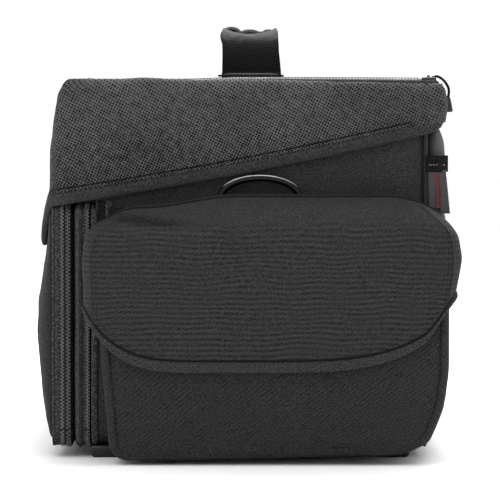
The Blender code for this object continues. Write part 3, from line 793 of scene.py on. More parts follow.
def build_body():
    """The near wall, floor and far wall in one strip, with the back panel closing it."""
    wrap = body_section()

    def strip(u, v):
        (y, z), (ny, nz) = wrap(v)
        x = ZIP_X + 3.4 + (BACK_X - 0.5 - ZIP_X - 3.4) * u
        edge = ease(0, 0.04, u) * ease(0, 0.04, 1 - u)
        out = body_sag(x, y, z) * edge - 2.2 * (1 - ease(0, 0.03, 1 - u)) - 0.4
        return (x, y + ny * out, z + nz * out)

    sheet("body_gusset", strip, 44, 190, CANVAS, "bag",
          ("end_panel_near", "end_panel_far", "bottom_panel"), thick=1.2, outward=1.0)

    def back(u, v):
        y = (2 * u - 1) * (HALF - 1.5)
        z = FLOOR_Z + 1.5 + (TOP_Z - 5 - FLOOR_Z) * v
        edge = ease(0, 0.04, u) * ease(0, 0.04, 1 - u) * ease(0, 0.05, v)
        return (BACK_X - 2.0 + 1.6 * edge + 0.4 * ripple(0, y, z, 40), y, z)

    sheet("back_wall", back, 60, 40, CANVAS, "bag", ("back_panel",), thick=1.2, outward=1.0)

    seam = []
    for k in range(161):
        (y, z), (ny, nz) = wrap(k / 160)
        seam.append((BACK_X - 0.6, y + ny * 0.4, z + nz * 0.4))
    tube("body_seam_piping", seam, 1.25, HEM, "bag")


def build_inner_front():
    """The wall behind the front compartment, and the brow that carries the hood over it."""
    def wall(u, v):
        y = (2 * u - 1) * (HALF - 5)
        z = FLOOR_Z + 5 + 146 * v
        return (-64.0 + 1.5 * ripple(3, y, z, 60), y, z)

    sheet("inner_front_wall", wall, 30, 16, CANVAS_SHADED, "bag", ("inner_front_panel",), thick=2.0)
    brow_line, _ = along_line([(-62, 155.5), (-96, 155.0), (-112, 155.0), (-115.6, 158), (-116.2, 163),
                               (-115.4, 185), (-114.0, 204)])

    def brow_strip(u, v):
        """The brow's floor from the inner wall forward, round its lip and up behind the hood."""
        x, z = brow_line(v)
        return (x, (2 * u - 1) * (HALF - 0.8), z)

    sheet("brow_skin", brow_strip, 50, 34, CANVAS_SHADED, "bag", ("brow_floor",),
          thick=1.2, outward=1.0)
    for side, end, nodes in ((-1, "near", ("brow_panel",)), (1, "far", ())):
        def cheek(u, v, side=side):
            return (ZIP_X - 18.4 + 20.4 * u, side * (HALF - 0.9), 155.2 + 50 * v)

        sheet(f"brow_cheek_{end}", cheek, 8, 20, CANVAS_SHADED, "bag", nodes, thick=1.0)


# ------------------------------------------------------------------ hood

HOOD_RING = rounded(
    [
        (HOOD_FRONT, -HOOD_HALF, 12.0),
        (HOOD_BACK, -HOOD_HALF, 7.0),
        (HOOD_BACK, HOOD_HALF, 7.0),
        (HOOD_FRONT, HOOD_HALF, 12.0),
    ]
)
HOOD_PATH, HOOD_ROUND = along_outline(HOOD_RING)


def hem_z(x):
    """The hood hem's lower edge: nearly straight, steeper towards the back."""
    share = (x + 120.0) / 238.0
    return 152.4 + 36.0 * share + 10.3 * max(0.0, share) ** 2.2 + 2.4 * ease(108, 119, x)


def top_z(x):
    """The plane of the zip and the lid."""
    return 228.3 + 1.1 * ease(-40, -5, x) - 0.006 * max(0.0, x - 20.0)


def crest(x, y):
    """The height of the hood's rolled top edge, which falls towards the back."""
    bumpy = 0.3 * ripple(x, y, 3, 26.0) + 0.25 * ripple(x, y, 9, 11.0)
    return 228.0 + 0.9 * bump(x, -65, 9) - 0.3 * ease(-60, -30, x) - 0.0205 * max(0.0, x - 5.0) + bumpy


def front_droop(y):
    """How far the hood's front edge hangs below its corners."""
    return 24.5 * ease(5.0, 34.0, HOOD_HALF - abs(y))


def front_lean(y, z):
    """How far the hood's front stands forward: pulled in at the top, out at its hem."""
    near_corner = ease(0.0, 24.0, HOOD_HALF - abs(y))
    lean = 0.6 * bump(z, 178, 20) - 1.3 * ease(150, 163, z) - 1.1 * bump(z, 196, 9)
    return lean - 3.4 * ease(196, 216, z) - 2.5 * ease(214, 224, z) + 6.2 * ease(176, 118, z) * near_corner


def hood_point(u, v):
    """The hood at a share u round it: up its wall, over its rolled edge and in to the zip."""
    (x, y), (nx, ny) = HOOD_PATH(u)
    front = ease(0.3, 1.0, -nx)
    back = ease(0.3, 1.0, nx)
    inner_x = clamp(x, OPEN_FRONT + 1.2, OPEN_BACK - 0.8)
    inner_y = clamp(y, -OPEN_HALF + 0.8, OPEN_HALF - 0.8)
    width = max(0.5, math.hypot(inner_x - x, inner_y - y))
    roll = min(width * 0.86, 6.0 + 9.0 * front)
    top = crest(x, y)
    low = hem_z(x) + 3.0 - front_droop(y) * front
    if v <= HOOD_WALL:
        share = v / HOOD_WALL
        z = low + (top - roll * 1.1 - low) * share
        reach = 0.0
    elif v <= HOOD_ROLL:
        turn = math.pi / 2 * (v - HOOD_WALL) / (HOOD_ROLL - HOOD_WALL)
        z = top - roll * 1.1 + roll * 1.1 * math.sin(turn)
        reach = roll * (1 - math.cos(turn)) ** (1.0 - 0.15 * front)
        share = 1.0
    else:
        share = 1.0
        part = (v - HOOD_ROLL) / (1 - HOOD_ROLL)
        z = top - (top - top_z(x) + 1.2) * ease(0, 1, part)
        reach = roll + (width - roll) * part
    belly = math.sin(math.pi * clamp(share)) * (1 - ease(HOOD_WALL, HOOD_ROLL, v))
    out = 0.9 * belly * (1 - front) + 0.3 * back * belly - 1.0 * back
    out += front_lean(y, z) * front
    slack = 0.9 * ripple(x, y, z, 34.0) + 0.4 * ripple(x, y, z * 1.7, 13.0)
    out += slack * ease(0.05, 0.25, share) * (v < HOOD_ROLL + 0.01)
    ends = ease(0.5, 0.95, abs(ny))
    out -= ends * 1.7 * bump(x, -113.2, 2.2) * ease(168, 182, z) * (1 - ease(222, 230, z))
    crease = (z - 187.0) + (x + 106.0) * 0.9
    out -= ends * 0.9 * bump(crease, 0, 3.0) * bump(x, -101.5, 7.0)
    share_in = reach / width
    x_out = x + nx * out + (inner_x - x) * share_in
    y_out = y + ny * out + (inner_y - y) * share_in
    return (x_out, y_out, z)


def hem_line(height, out, tuck):
    """A line round the hood's hem, at a share of its height and standing out, tucked in at the back."""
    line = []
    for k in range(331):
        (x, y), (nx, ny) = HOOD_PATH(k / 330 * 0.99999)
        front = ease(0.3, 1.0, -nx)
        z = hem_z(x) + HEM_TALL * height - front_droop(y) * front
        stand = out + front_lean(y, z) * front - tuck * ease(0.3, 1.0, nx)
        line.append((x + nx * stand, y + ny * stand, z))
    return line


def build_hood():
    """The spacer-mesh hood, its folded hem, the hem's stitches and a near-black cord as painted shade in the
    groove above it.
    """
    def knit(u, v):
        """The mesh's cloth map: round the hood, and up its wall and over its rolled edge."""
        height = hood_point(min(u, 0.9999), v)[2]
        return (u * HOOD_ROUND, height + 11.0 * max(0.0, v - HOOD_ROLL) / (1 - HOOD_ROLL))

    sheet("hood_mesh", hood_point, 300, 44, SPACER, "bag", ("mesh_hood",),
          loop=True, thick=1.6, outward=1.0, cloth=knit)

    def hem_point(u, v):
        (x, y), (nx, ny) = HOOD_PATH(u)
        tall = HEM_TALL / 2 * (1 + 0.05 * ripple(x, y, 77, 30.0))
        side, rise = math.cos(TAU * v), math.sin(TAU * v)
        square = math.copysign(abs(rise) ** 0.75, rise)
        out = 0.2 + 1.9 * math.copysign(abs(side) ** 0.7, side)
        out -= 0.55 * bump(rise, 0.52, 0.16) * (side > 0)
        out += 0.25 * ripple(x * 2, y * 2, 5, 17.0)
        front = ease(0.3, 1.0, -nx)
        middle = hem_z(x) + tall - front_droop(y) * front
        out += front_lean(y, middle) * front - 2.2 * ease(0.3, 1.0, nx) * (1 - 0.4 * rise)
        return (x + nx * out, y + ny * out, middle + square * tall)

    sheet("hood_hem_band", hem_point, 300, 20, HEM, "bag", ("hood_hem",), loop=True, weld=True)
    stitch("bag", hem_line(0.77, 1.95, 2.0), 3.1, 2.3, 0.3)
    tube("hood_hem_groove", hem_line(1.03, 1.5, 1.6), 0.7, GROOVE_SHADE, "bag", sides=6)


# ------------------------------------------------------------------ lid and main zip


def opening_line(inset, lift, front=OPEN_FRONT + 3.0, corner=7.0):
    """The zip's run, lift above its plane: along the near edge, round the back and along the far edge."""
    radius = max(1.0, corner - inset)
    back, half = OPEN_BACK - inset, OPEN_HALF - inset
    centre_x, centre_y = back - radius, half - radius
    turns = [math.pi / 2 * k / 8 for k in range(1, 8)]
    line = [(front + (centre_x - front) * k / 60, -half) for k in range(61)]
    line += [(centre_x + radius * math.sin(turn), -centre_y - radius * math.cos(turn)) for turn in turns]
    line += [(back, (2 * k / 80 - 1) * centre_y) for k in range(81)]
    line += [(centre_x + radius * math.cos(turn), centre_y + radius * math.sin(turn)) for turn in turns]
    line += [(centre_x + (front - centre_x) * k / 60, half) for k in range(61)]
    return [Vector((x, y, top_z(x) + lift)) for x, y in line]


def lid_z(x, y):
    """The lid's outer face: flat at its zip, softly crowned in the middle."""
    across = clamp(min(x - OPEN_FRONT, OPEN_BACK - 10 - x, OPEN_HALF - 10 - abs(y)) / 45.0)
    crown = 1.5 * math.sin(across * math.pi / 2)
    return top_z(x) + 0.2 + crown + 0.4 * ripple(x, y, 0, 42.0) * across


def ribbon(name, line, width, thick, paint, body, stands_for=()):
    """A flat level tape along a line, its cloth map's x across it and y along it."""
    count = len(line) - 1

    def point(u, v):
        i = round(v * count)
        along = (line[min(i + 1, count)] - line[max(i - 1, 0)]).normalized()
        side = along.cross(UP).normalized()
        return line[i] + side * (u - 0.5) * width

    return sheet(name, point, 6, count, paint, body, stands_for, thick=thick, outward=1.0)


def teeth_mesh(name, teeth, paint, body, stands_for=()):
    """Many small cubes in one mesh, each bent by its own function of a, b and c."""
    work = bmesh.new()
    for tooth in teeth:
        for vert in bmesh.ops.create_cube(work, size=1.0)["verts"]:
            vert.co = tooth(*vert.co) * MM
    mesh = bpy.data.meshes.new(name)
    work.to_mesh(mesh)
    work.free()
    mesh.uv_layers.new(name="cloth")
    obj = new_object(name, mesh)
    mesh.shade_flat()
    return register(obj, paint, body, stands_for)


def zip_teeth(name, line, paint, body, width, pitch, tall, stands_for=()):
    """Two interlocked rows of moulded teeth along a level line."""
    spots = resample(line, pitch / 2)
    teeth = []
    for i in range(1, len(spots) - 1):
        along = (spots[i + 1] - spots[i - 1]).normalized()
        side = along.cross(UP).normalized() * (1 if i % 2 else -1)
        normal = side.cross(along).normalized()
        if normal.dot(UP) < 0:
            normal = -normal
        centre = spots[i] + side * width * 0.20

        def tooth(a, b, c, along=along, side=side, normal=normal, centre=centre):
            slim = 0.72 if c > 0 else 1.0
            rise = (c + 0.5) * tall * (1.0 - 0.18 * (b > 0))
            return centre + side * b * width * 0.62 + along * a * pitch * 0.62 * slim + normal * rise

        teeth.append(tooth)
    return teeth_mesh(name, teeth, paint, body, stands_for)


def build_lid():
    """The lid's cover, its lining, the piping round it and the stitches inside that."""
    def cover(u, v):
        x = OPEN_FRONT + 0.6 + (OPEN_BACK - 11.4 - OPEN_FRONT) * u
        y = (2 * v - 1) * (OPEN_HALF - 11.2)
        return (x, y, lid_z(x, y))

    sheet("lid_cover", cover, 50, 70, CANVAS, "lid", ("lid_panel",), thick=2.6, outward=-1.0)

    def under(u, v):
        x, y, z = cover(0.02 + 0.96 * u, 0.02 + 0.96 * v)
        return (x, y, z - 2.9 - 0.5 * abs(ripple(x, y, 9, 30)))

    sheet("lid_lining", under, 24, 36, LINING, "lid", thick=0.4)
    tube("lid_piping", opening_line(11.3, 0.5, OPEN_FRONT + 1.5), 1.15, HEM, "lid")
    seam = opening_line(14.5, 0.0, OPEN_FRONT + 3)
    stitch("lid", [(p.x, p.y * 0.985, lid_z(p.x, p.y) + 0.5) for p in seam], 3.2, 2.4, 0.3)


def build_main_zip():
    """The zip round the lid: a tape on each side of its chain, each a little further in."""
    outer_inset, chain_inset, lid_inset = 2.2, 5.4, 8.9
    wide, thick = 4.2, 0.5
    ribbon("main_tape_outer", opening_line(outer_inset, -0.5), wide, thick, TAPE_LIGHT, "bag",
           ("main_zip_body_tape",))
    ribbon("main_tape_lid", opening_line(lid_inset, -0.3), wide, thick, TAPE, "lid",
           ("main_zip_lid_tape",))
    zip_teeth("main_zip_teeth", opening_line(chain_inset, -0.6), COIL_PALE_AND_GLINT, "lid",
              width=3.2, pitch=1.9, tall=1.7, stands_for=("main_zip_chain",))


def build_lid_hinge():
    """The fold of cloth along the lid's front edge, and the hood's stitching before it."""
    ys = [(2 * k / 60 - 1) * (OPEN_HALF - 12) for k in range(61)]
    stitch("bag", [(OPEN_FRONT - 3.0, y, crest(-102, y) + 1.9) for y in ys], 3.2, 2.4, 0.3)

    def flange(u, v):
        x = OPEN_FRONT - 1.0 + 5.0 * u
        y = (2 * v - 1) * (OPEN_HALF - 10.8)
        return (x, y, 229.3 + 0.5 * math.sin(math.pi * u))

    fold = sheet("lid_hinge_fold", flange, 8, 60, HEM, None, thick=0.5, outward=1.0)
    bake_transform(fold)


# ------------------------------------------------------------------ handle


def strap_line():
    """The near leg's middle line: its sewn tail, the bend, the rise and the turn under the grip."""
    tail = [(-104.0 + 5.0 * k, 231.0) for k in range(6)]
    rise = []
    for k in range(1, 33):
        turn = k / 32
        y = -HANDLE_BASE_Y + 28.0 * (1 - math.cos(math.pi * 0.5 * turn ** 1.25))
        z = 231.0 + 27.0 * math.sin(math.pi * 0.5 * turn ** 0.72)
        rise.append((y, z))
    return [Vector((0.0, y, z)) for y, z in tail + rise]


def build_handle_legs():
    """The two webbing legs."""
    line = strap_line()
    count = len(line) - 1

    def leg(u, v):
        spot = line[round(v * count)]
        share = (u - 0.5) * 2
        climb = ease(0.25, 0.9, v)
        base = 1 - ease(0.1, 0.42, v)
        width = 17.9 + 1.3 * base * (1 if share > 0 else 0.2) - 0.5 * ease(0.8, 1.0, v)
        cup = 4.2 * share * share * ease(0.5, 0.85, v) * (1 - ease(0.88, 1.0, v))
        soft = 0.25 * climb * ripple(share * 20, 0, v * 40, 12)
        return (HANDLE_X - 0.6 * climb + share * width, spot.y, spot.z + cup + soft)

    near = sheet("handle_strap_near", leg, 26, count, WEBBING, None, thick=2.3, outward=1.0)
    far = mirror_y(near, "handle_strap_far", None)
    for obj, end in ((near, "near"), (far, "far")):
        register(obj, WEBBING, "lid", (f"handle_leg_{end}",))
        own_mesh(obj)


def grip_roll(name, x, z, radius_x, radius_z, start, sweep, paint, inset=0.0):
    """A part of the grip's sleeve: a curl of webbing from start through sweep degrees."""
    def point(u, v):
        turn = math.radians(start) + math.radians(sweep) * u
        swell = 1 + 0.05 * math.sin(math.pi * v) + 0.02 * ripple(v * 60, x, u * 20, 9.0)
        droop = 0.9 * (1 - math.sin(math.pi * clamp(v, 0.02, 0.98))) ** 3
        return (HANDLE_X + x + radius_x * math.cos(turn) * swell, (2 * v - 1) * (GRIP_HALF - inset),
                z + radius_z * math.sin(turn) * swell - droop)

    sheet(name, point, 22, 46, paint, "handle", thick=2.0, outward=1.0)


def build_grip():
    """The grip: a foam core in a sleeve whose two edges are rolled up beside it."""
    # The rolls and lips use the lighter copy of the webbing, as painted light.
    grip_roll("grip_roll_front", -12.4, 259.3, 5.2, 4.2, -100, -290, WEBBING_LIT)
    grip_roll("grip_roll_back", 11.4, 259.6, 5.2, 4.2, -80, 290, WEBBING_LIT)
    grip_roll("grip_cover", -0.5, 258.4, 8.6, 5.4, -8, 196, WEBBING, 0.6)

    def sagging(p):
        return (p.x + HANDLE_X, p.y, p.z - 0.8 * (1 - (p.y / 46) ** 2) * (p.z < 258))

    core = block("grip_core", (-16, -47, 255.0), (15, 47, 262.0), 2.8, FOAM, "handle",
                 ("handle_grip",), 4, sagging)
    for side, end in ((1, "near"), (-1, "far")):
        lip = []
        for k in range(31):
            share = k / 15 - 1
            lip.append((HANDLE_X - 0.6 + 16.6 * share, side * (24.3 - HANDLE_BASE_Y),
                        258.6 + 4.4 * abs(share) ** 2.2))
        tube(f"grip_lip_{end}", lip, 1.15, WEBBING_LIT, "handle")

    def underside(u, v):
        share = 2 * u - 1
        z = 254.6 + 2.4 * abs(share) ** 2.4 - 0.7 * (1 - share * share)
        return (HANDLE_X - 0.8 + 15.0 * share, (2 * v - 1) * 48.4, z)

    sheet("grip_underside", underside, 18, 40, WEBBING, "handle", thick=1.8, outward=1.0)


def build_handle_patches():
    """A cloth patch over each leg's sewn tail, with a box of stitches and its diagonals."""
    wide, inner, outer = 20.5, 78.5, 101.5
    for end, start in (("near", -outer), ("far", inner)):
        def patch(u, v, start=start):
            lift = 1.0 * ease(0, 0.2, min(u, 1 - u)) * ease(0, 0.2, min(v, 1 - v))
            return (HANDLE_X - wide + 2 * wide * u, start + (outer - inner) * v, PATCH_Z + lift)

        sheet(f"handle_patch_cloth_{end}", patch, 20, 14, CANVAS, "lid", (f"handle_patch_{end}",),
              thick=0.8, outward=1.0)
        left, right = HANDLE_X - wide + 2.4, HANDLE_X + wide - 2.4
        low, high, top = start + 2.2, start + outer - inner - 2.2, PATCH_Z + 2.0
        a, b, c, d = (left, low, top), (right, low, top), (right, high, top), (left, high, top)
        for seam in ([a, b, c, d, a], [a, c], [d, b]):
            stitch_box("lid", seam, 2.7, 2.0, 0.28)


# ------------------------------------------------------------------ main slider and pull


def middle_of(node):
    """The middle of a CAD node in millimetres."""
    low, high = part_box(node)
    return (low + high) / 2 / MM


def build_slider():
    """The main zip's slider, with the bridge that holds its pull."""
    x, y, _ = middle_of("main_zip_slider")
    base = top_z(x) - 0.5

    def wedge(p):
        narrow = 1.0 - 0.28 * clamp((p.y - y) / 6.0, -1, 1) * (1 if p.y > y else 0.2)
        return (x + (p.x - x) * narrow, p.y, p.z)

    block("main_slider_body", (x - 4.2, y - 6.0, base), (x + 4.2, y + 6.0, base + 2.3), 0.7, METAL,
          "main_slider", ("main_zip_slider",), 3, wedge)
    bridge = []
    for k in range(13):
        turn = math.pi * k / 12
        bridge.append((x, y - 4.2 * math.cos(turn), base + 2.0 + 1.5 * max(0.0, math.sin(turn)) ** 0.6))
    tube("main_slider_bridge", bridge, 0.75, METAL, "main_slider", sides=8, flat=0.7)


def build_pull():
    """The pull's cord, doubled, from the bridge over the hood's edge and down to its moulded tab."""
    y = middle_of("main_zip_slider").y
    outer, inner = [], []
    for k in range(25):
        t = k / 24
        x = 110.6 + 8.0 * math.sin(math.pi / 2 * min(1.0, t * 1.3)) ** 1.1 + 1.0 * t
        z = 230.2 + 0.4 * math.sin(math.pi * min(1, t * 2.2)) - 14.0 * max(0.0, t - 0.12) ** 1.15 / 0.86
        spread = 2.0 * math.sin(math.pi * clamp(t, 0.03, 0.97)) ** 0.6 + 0.25
        gap = Vector((0.8, -0.6, 0.6)) * spread
        outer.append(Vector((x, y, z)) + gap)
        inner.append(Vector((x, y, z)) - gap)
    tube("main_pull_cord", outer + inner[::-1], 0.8, WEBBING, "main_pull",
         ("main_zip_pull_cord",), closed=True)

    # x and z are now where the cord ends, and the tab hangs there.
    def taper(p):
        share = clamp((z + 2.2 - p.z) / 9.0)
        grow = 0.62 + 0.38 * ease(0.0, 0.75, share)
        return (x + 0.2 + (p.x - x) * grow, y + (p.y - y) * grow, p.z)

    block("main_pull_tab", (x - 3.4, y - 2.6, z - 6.6), (x + 3.4, y + 2.6, z + 2.4), 1.1,
          PLASTIC, "main_pull", ("main_zip_pull_tab",), 3, taper)
    for k in range(3):
        wide = 3.0 * (0.98 - 0.05 * k)
        turns = [TAU * t / 16 for t in range(16)]
        ring = [(x + 0.2 + wide * math.cos(t), y + 2.55 * math.sin(t), z - 4.8 + 1.9 * k) for t in turns]
        tube(f"main_pull_rib_{k}", ring, 0.4, PLASTIC, "main_pull", sides=6, closed=True)


# ------------------------------------------------------------------ front compartment

FRAME_RING = rounded([(-HALF, 7.2, 10.0), (HALF, 7.2, 10.0), (HALF, 153.0, 7.0), (-HALF, 153.0, 7.0)])
FRAME_PATH = along_outline(FRAME_RING)[0]


def band(name, middle, profile, paint, body, stands_for=(), thick=0.0):
    """A strip swept round the front compartment. profile is a line of (x from middle, how far out)."""
    across, length = along_line([(middle + x, out) for x, out in profile])
    start = middle + profile[0][0]

    def point(u, v):
        (y, z), (ny, nz) = FRAME_PATH(u)
        x, out = across(v)
        x += 0.25 * ripple(y, z, 40 + start, 38.0)
        out += 0.20 * ripple(y, z, start, 27.0)
        return (x, y + ny * out, z + nz * out)

    rows = max(4, round(length / 0.6))
    sheet(name, point, 300, rows, paint, body, stands_for, loop=True, thick=thick, outward=-1.0)


def frame_line(x, out, count=420):
    """The points of a line round the front compartment, at x and standing out by out."""
    line = []
    for k in range(count + 1):
        (y, z), (ny, nz) = FRAME_PATH(min(k / count, 0.99999))
        line.append(Vector((x, y + ny * out, z + nz * out)))
    return line


def arch(x0, x1, out, rise, steps=8):
    """A band's profile that rises in an arch from x0 to x1."""
    shares = [k / steps for k in range(steps + 1)]
    return [(x0 + (x1 - x0) * share, out + rise * math.sin(math.pi * share)) for share in shares]


def frame_teeth(name, x, paint, body, out, width, pitch):
    """Zip teeth round the front compartment's ends and bottom."""
    middle = Vector((x, 0, 80))
    line = resample(frame_line(x, out), pitch / 2)
    teeth = []
    for i in range(1, len(line) - 1):
        along = (line[i + 1] - line[i - 1]).normalized()
        side = RIGHT * (1 if i % 2 else -1)
        normal = along.cross(RIGHT).normalized()
        if normal.dot(line[i] - middle) < 0:
            normal = -normal
        centre = line[i] + side * width * 0.19

        def tooth(a, b, c, along=along, side=side, normal=normal, centre=centre):
            slim = 0.7 if c > 0 else 1.0
            across = side * b * width * 0.62
            return centre + across + along * a * pitch * 0.6 * slim + normal * (c + 0.4) * 1.3

        teeth.append(tooth)
    teeth_mesh(name, teeth, paint, body)


# How far forward the front cover's middle stands: heights and distances.
COVER_PROFILE = ((7, 113.4), (9, 118.6), (14, 122.2), (24, 125.4), (43, 128.8), (62, 130.3), (76, 131.0),
                 (84, 131.3), (92, 130.2), (102, 128.9), (114, 126.8), (124, 124.8), (136, 123.0),
                 (152, 121.0))


def cover_bulge(z):
    """The x of the front cover's middle at a height."""
    for (a, xa), (b, xb) in zip(COVER_PROFILE, COVER_PROFILE[1:]):
        if z <= b:
            share = clamp((z - a) / (b - a))
            return -(xa + (xb - xa) * (ease(0, 1, share) + share) * 0.5)
    return -COVER_PROFILE[-1][1]


def cover_top(y):
    """The slack top edge of the front cover: up at its corners, hanging between them."""
    return 148.0 - 22.0 * ease(1.0, 32.0, HALF - abs(y))


def cover_point(u, v):
    """The front cover's skin: sewn at its rim, bulged in the middle, loose at its top corners."""
    y = (2 * u - 1) * (HALF - 0.4)
    z = COVER_LOW + (cover_top(y) - COVER_LOW) * v
    side = abs(2 * u - 1)
    belly = (1 - side ** 7) ** 0.62 if side < 1 else 0.0
    x = COVER_RIM_X + (min(cover_bulge(z), COVER_RIM_X) - COVER_RIM_X) * belly
    corner = ease(0.93, 1.0, side) * ease(0, 0.09, 1 - v)
    foot = 1 - ease(0.0, 0.055, v)
    x += foot * 3.0 * (1 - 0.2 * side)
    soft = math.sin(math.pi * clamp(v)) ** 0.5 * belly
    x += soft * (1.1 * ripple(y, z, 5, 46.0) + 0.55 * ripple(y * 0.6, z * 1.6, 15, 19.0))
    x += soft * 0.8 * bump(z, 84 + 8 * ripple(y, 0, 3, 60), 5)
    return (x, y - math.copysign(0.9 * corner, y), z)


def build_expansion_zip():
    """The second zip: its dark tape on the bag, and its teeth and tape on the front section."""
    band("expansion_tape_bag", ZIP_X, [(4.9, -0.4), *arch(4.4, 0.4, 0.6, 0.7, 6)], TAPE, "bag")
    band("expansion_zip_coil", ZIP_X, arch(-3.2, -0.3, -0.6, 1.0), COIL, "front_section",
         ("expansion_zip",))
    frame_teeth("expansion_zip_teeth", ZIP_X - 1.9, TEETH_PALE, "front_section", 0.2, width=2.6, pitch=2.0)
    band("expansion_tape_front", ZIP_X, [(-2.9, 0.2), (-3.2, 0.9), (-4.4, 0.9), (-4.6, 0.3)], TAPE,
         "front_section")


def build_divider():
    """The binding tape round the front section with its zigzag seam, and the groove beside it."""
    band("binding_band", BINDING_X, arch(-2.6, 2.7, -0.4, 2.1, 12), BINDING, "front_section",
         ("binding_tape",))
    seam = resample(frame_line(BINDING_X, 1.9), 1.7)
    zigzag = [spot + RIGHT * (0.9 if k % 2 else -0.9) for k, spot in enumerate(seam)]
    stitch("front_section", zigzag, 2.3, 1.7, 0.22, THREAD_PALE)
    band("groove_wall", GROOVE_X, [(1.2, 0.2), (1.0, -5.2), (0.0, -5.8), (-1.0, -5.2), (-1.2, 0.3)],
         CANVAS_SHADED, "front_section", ("front_divider",))


def build_front_zip():
    """The zip between the front section and its cover."""
    band("front_zip_tape_inner", FRONT_ZIP_X, [(3.6, -0.2), (3.2, 0.5), (0.5, 0.6), (0.0, -0.4)], TAPE_DARK,
         "front_section")
    frame_teeth("front_zip_teeth_inner", FRONT_ZIP_X + 1.7, TEETH, "front_section", 0.3, width=2.9, pitch=2.1)
    band("front_zip_coil", FRONT_ZIP_X, arch(-3.3, 0.4, -0.9, 0.5), COIL, "front_section",
         ("front_zip",))
    frame_teeth("front_zip_teeth", FRONT_ZIP_X - 1.9, TEETH_PALE, "front_cover", 0.0, width=2.2, pitch=2.1)
    band("front_zip_tape", FRONT_ZIP_X, [(-3.0, 0.1), (-3.8, 0.6), (-7.2, 0.7), (-8.2, 0.0)], TAPE,
         "front_cover")
    stitch("front_cover", frame_line(COVER_BACK_X, 0.85), 2.8, 2.1, 0.26)


def build_panel_seams():
    """The seam allowance beside the expansion zip, dark with painted shade, and the tape sewn down next to
    it.
    """
    low, tall = 92.0, 64.0

    def allowance(u, v):
        return (-91.9 + 4.1 * u, -HALF - 1.5 + 0.5 * math.sin(math.pi * u), low + tall * v)

    def tape(u, v):
        return (-87.4 + 3.8 * u, -HALF - 1.7 - 0.5 * math.sin(math.pi * u), low + tall * v)

    strip = sheet("panel_seam_strip_near", allowance, 6, 30, CANVAS_SHADED, None, thick=0.6)
    both_ends(strip, "bag")
    strip = sheet("panel_seam_tape_near", tape, 8, 30, TAPE, None, thick=0.6)
    both_ends(strip, "bag")


def build_cover():
    """The front cover: its lining, its skin, the part behind the hood's edge, and its piping."""
    def lining(u, v):
        y = (2 * u - 1) * (HALF - 1.5)
        z = 7.4 + (cover_top(y) - 9.4) * v
        return (COVER_BACK_X + 0.8 * ripple(y, z, 1, 50) * ease(8.0, 30.0, z), y, z)

    sheet("cover_lining", lining, 40, 20, CANVAS_SHADED, "front_cover", thick=1.0)
    sheet("cover_skin", cover_point, 90, 64, CANVAS_SLANT, "front_cover", ("front_panel",),
          thick=1.4)

    def hidden_top(u, v):
        """The part of the cover that runs up behind the hood's hanging edge."""
        share = 0.5 + (u - 0.5) * 0.985
        edge_x, _, edge_z = cover_point(share, 0.985)
        start_x = edge_x + 1.6
        x = start_x + (-117.2 - start_x) * ease(0.0, 0.22, v)
        return (x, (2 * u - 1) * (HALF - 1.6), edge_z + (151.2 - edge_z) * v)

    sheet("cover_hidden_top", hidden_top, 90, 24, CANVAS_SLANT, "front_cover", thick=0.9)
    for end, share in (("near", 0.001), ("far", 0.999)):
        rim = [cover_point(share, k / 60) for k in range(61)]
        tube(f"cover_piping_{end}", rim, 0.7, HEM, "front_cover")
    rim = [cover_point(k / 120, 0.999) for k in range(121)]
    tube("cover_piping_top", rim, 0.95, THREAD, "front_cover")


def build_expander():
    """The expander's folded cloth, the compartment's lip, and the fold that hinges the cover."""
    def gusset(u, v):
        """The folded cloth from the zip back into the body."""
        (y, z), (ny, nz) = FRAME_PATH(u)
        pleat = 1.2 * math.sin(v * math.pi * 3.0)
        inset = (5.4 + pleat * 0.6) * ease(0.0, 0.09, v) + 0.5
        return (-97.6 + 29.2 * v, y - ny * inset, z - nz * inset)

    sheet("expander_gusset", gusset, 200, 18, CANVAS_SHADED, "front_section", ("expansion_gusset",),
          loop=True, thick=0.8)
    band("compartment_lip", FRONT_ZIP_X, [(4.6, -3.2), (0.0, -2.6), (-5.6, -2.6), (-6.0, -1.6)], CANVAS_SHADED,
         "front_section", thick=0.6)

    def fold(u, v):
        """Forward from the frame in its first half, then up the back of the cover."""
        y = (2 * u - 1) * (HALF - 6.0)
        if v < 0.5:
            return (-112.5 - 11.6 * v, y, 8.3)
        return (-118.3, y, 8.3 + 11.2 * (v - 0.5))

    hinge = sheet("cover_hinge_fold", fold, 60, 20, CANVAS_SHADED, None, thick=0.5)
    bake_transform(hinge)


def build_front_sliders():
    """The two front zips' sliders, each with its bridge and a short cord loop."""
    for node, body in (("front_zip_slider", "front_slider"), ("expansion_zip_slider", "expansion_slider")):
        low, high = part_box(node)
        low, high = low / MM, high / MM
        x = (low.x + high.x) / 2

        def wedge(p, x=x, low=low):
            share = clamp((p.z - low.z) / 11.0)
            return (x + (p.x - x) * (0.72 + 0.28 * share), p.y, p.z)

        block(f"{node}_body", (x - 3, HALF + 0.9, low.z), (x + 3, HALF + 2.9, high.z), 0.6, METAL, body,
              (node,), 3, wedge)
        shares = [k / 10 for k in range(11)]
        bridge = [(x, HALF + 2.7 + 1.5 * math.sin(math.pi * s) ** 0.6, low.z + 2 + 7 * s) for s in shares]
        tube(f"{node}_bridge", bridge, 0.6, METAL, body, sides=6)
        turns = [TAU * k / 24 for k in range(24)]
        cord = [(x + 1.2 * math.sin(t), HALF + 4.6, low.z + 1.5 + 5.5 * math.cos(t)) for t in turns]
        tube(f"{node}_cord", cord, 0.5, WEBBING, body, sides=6, closed=True)


# ------------------------------------------------------------------ side pockets


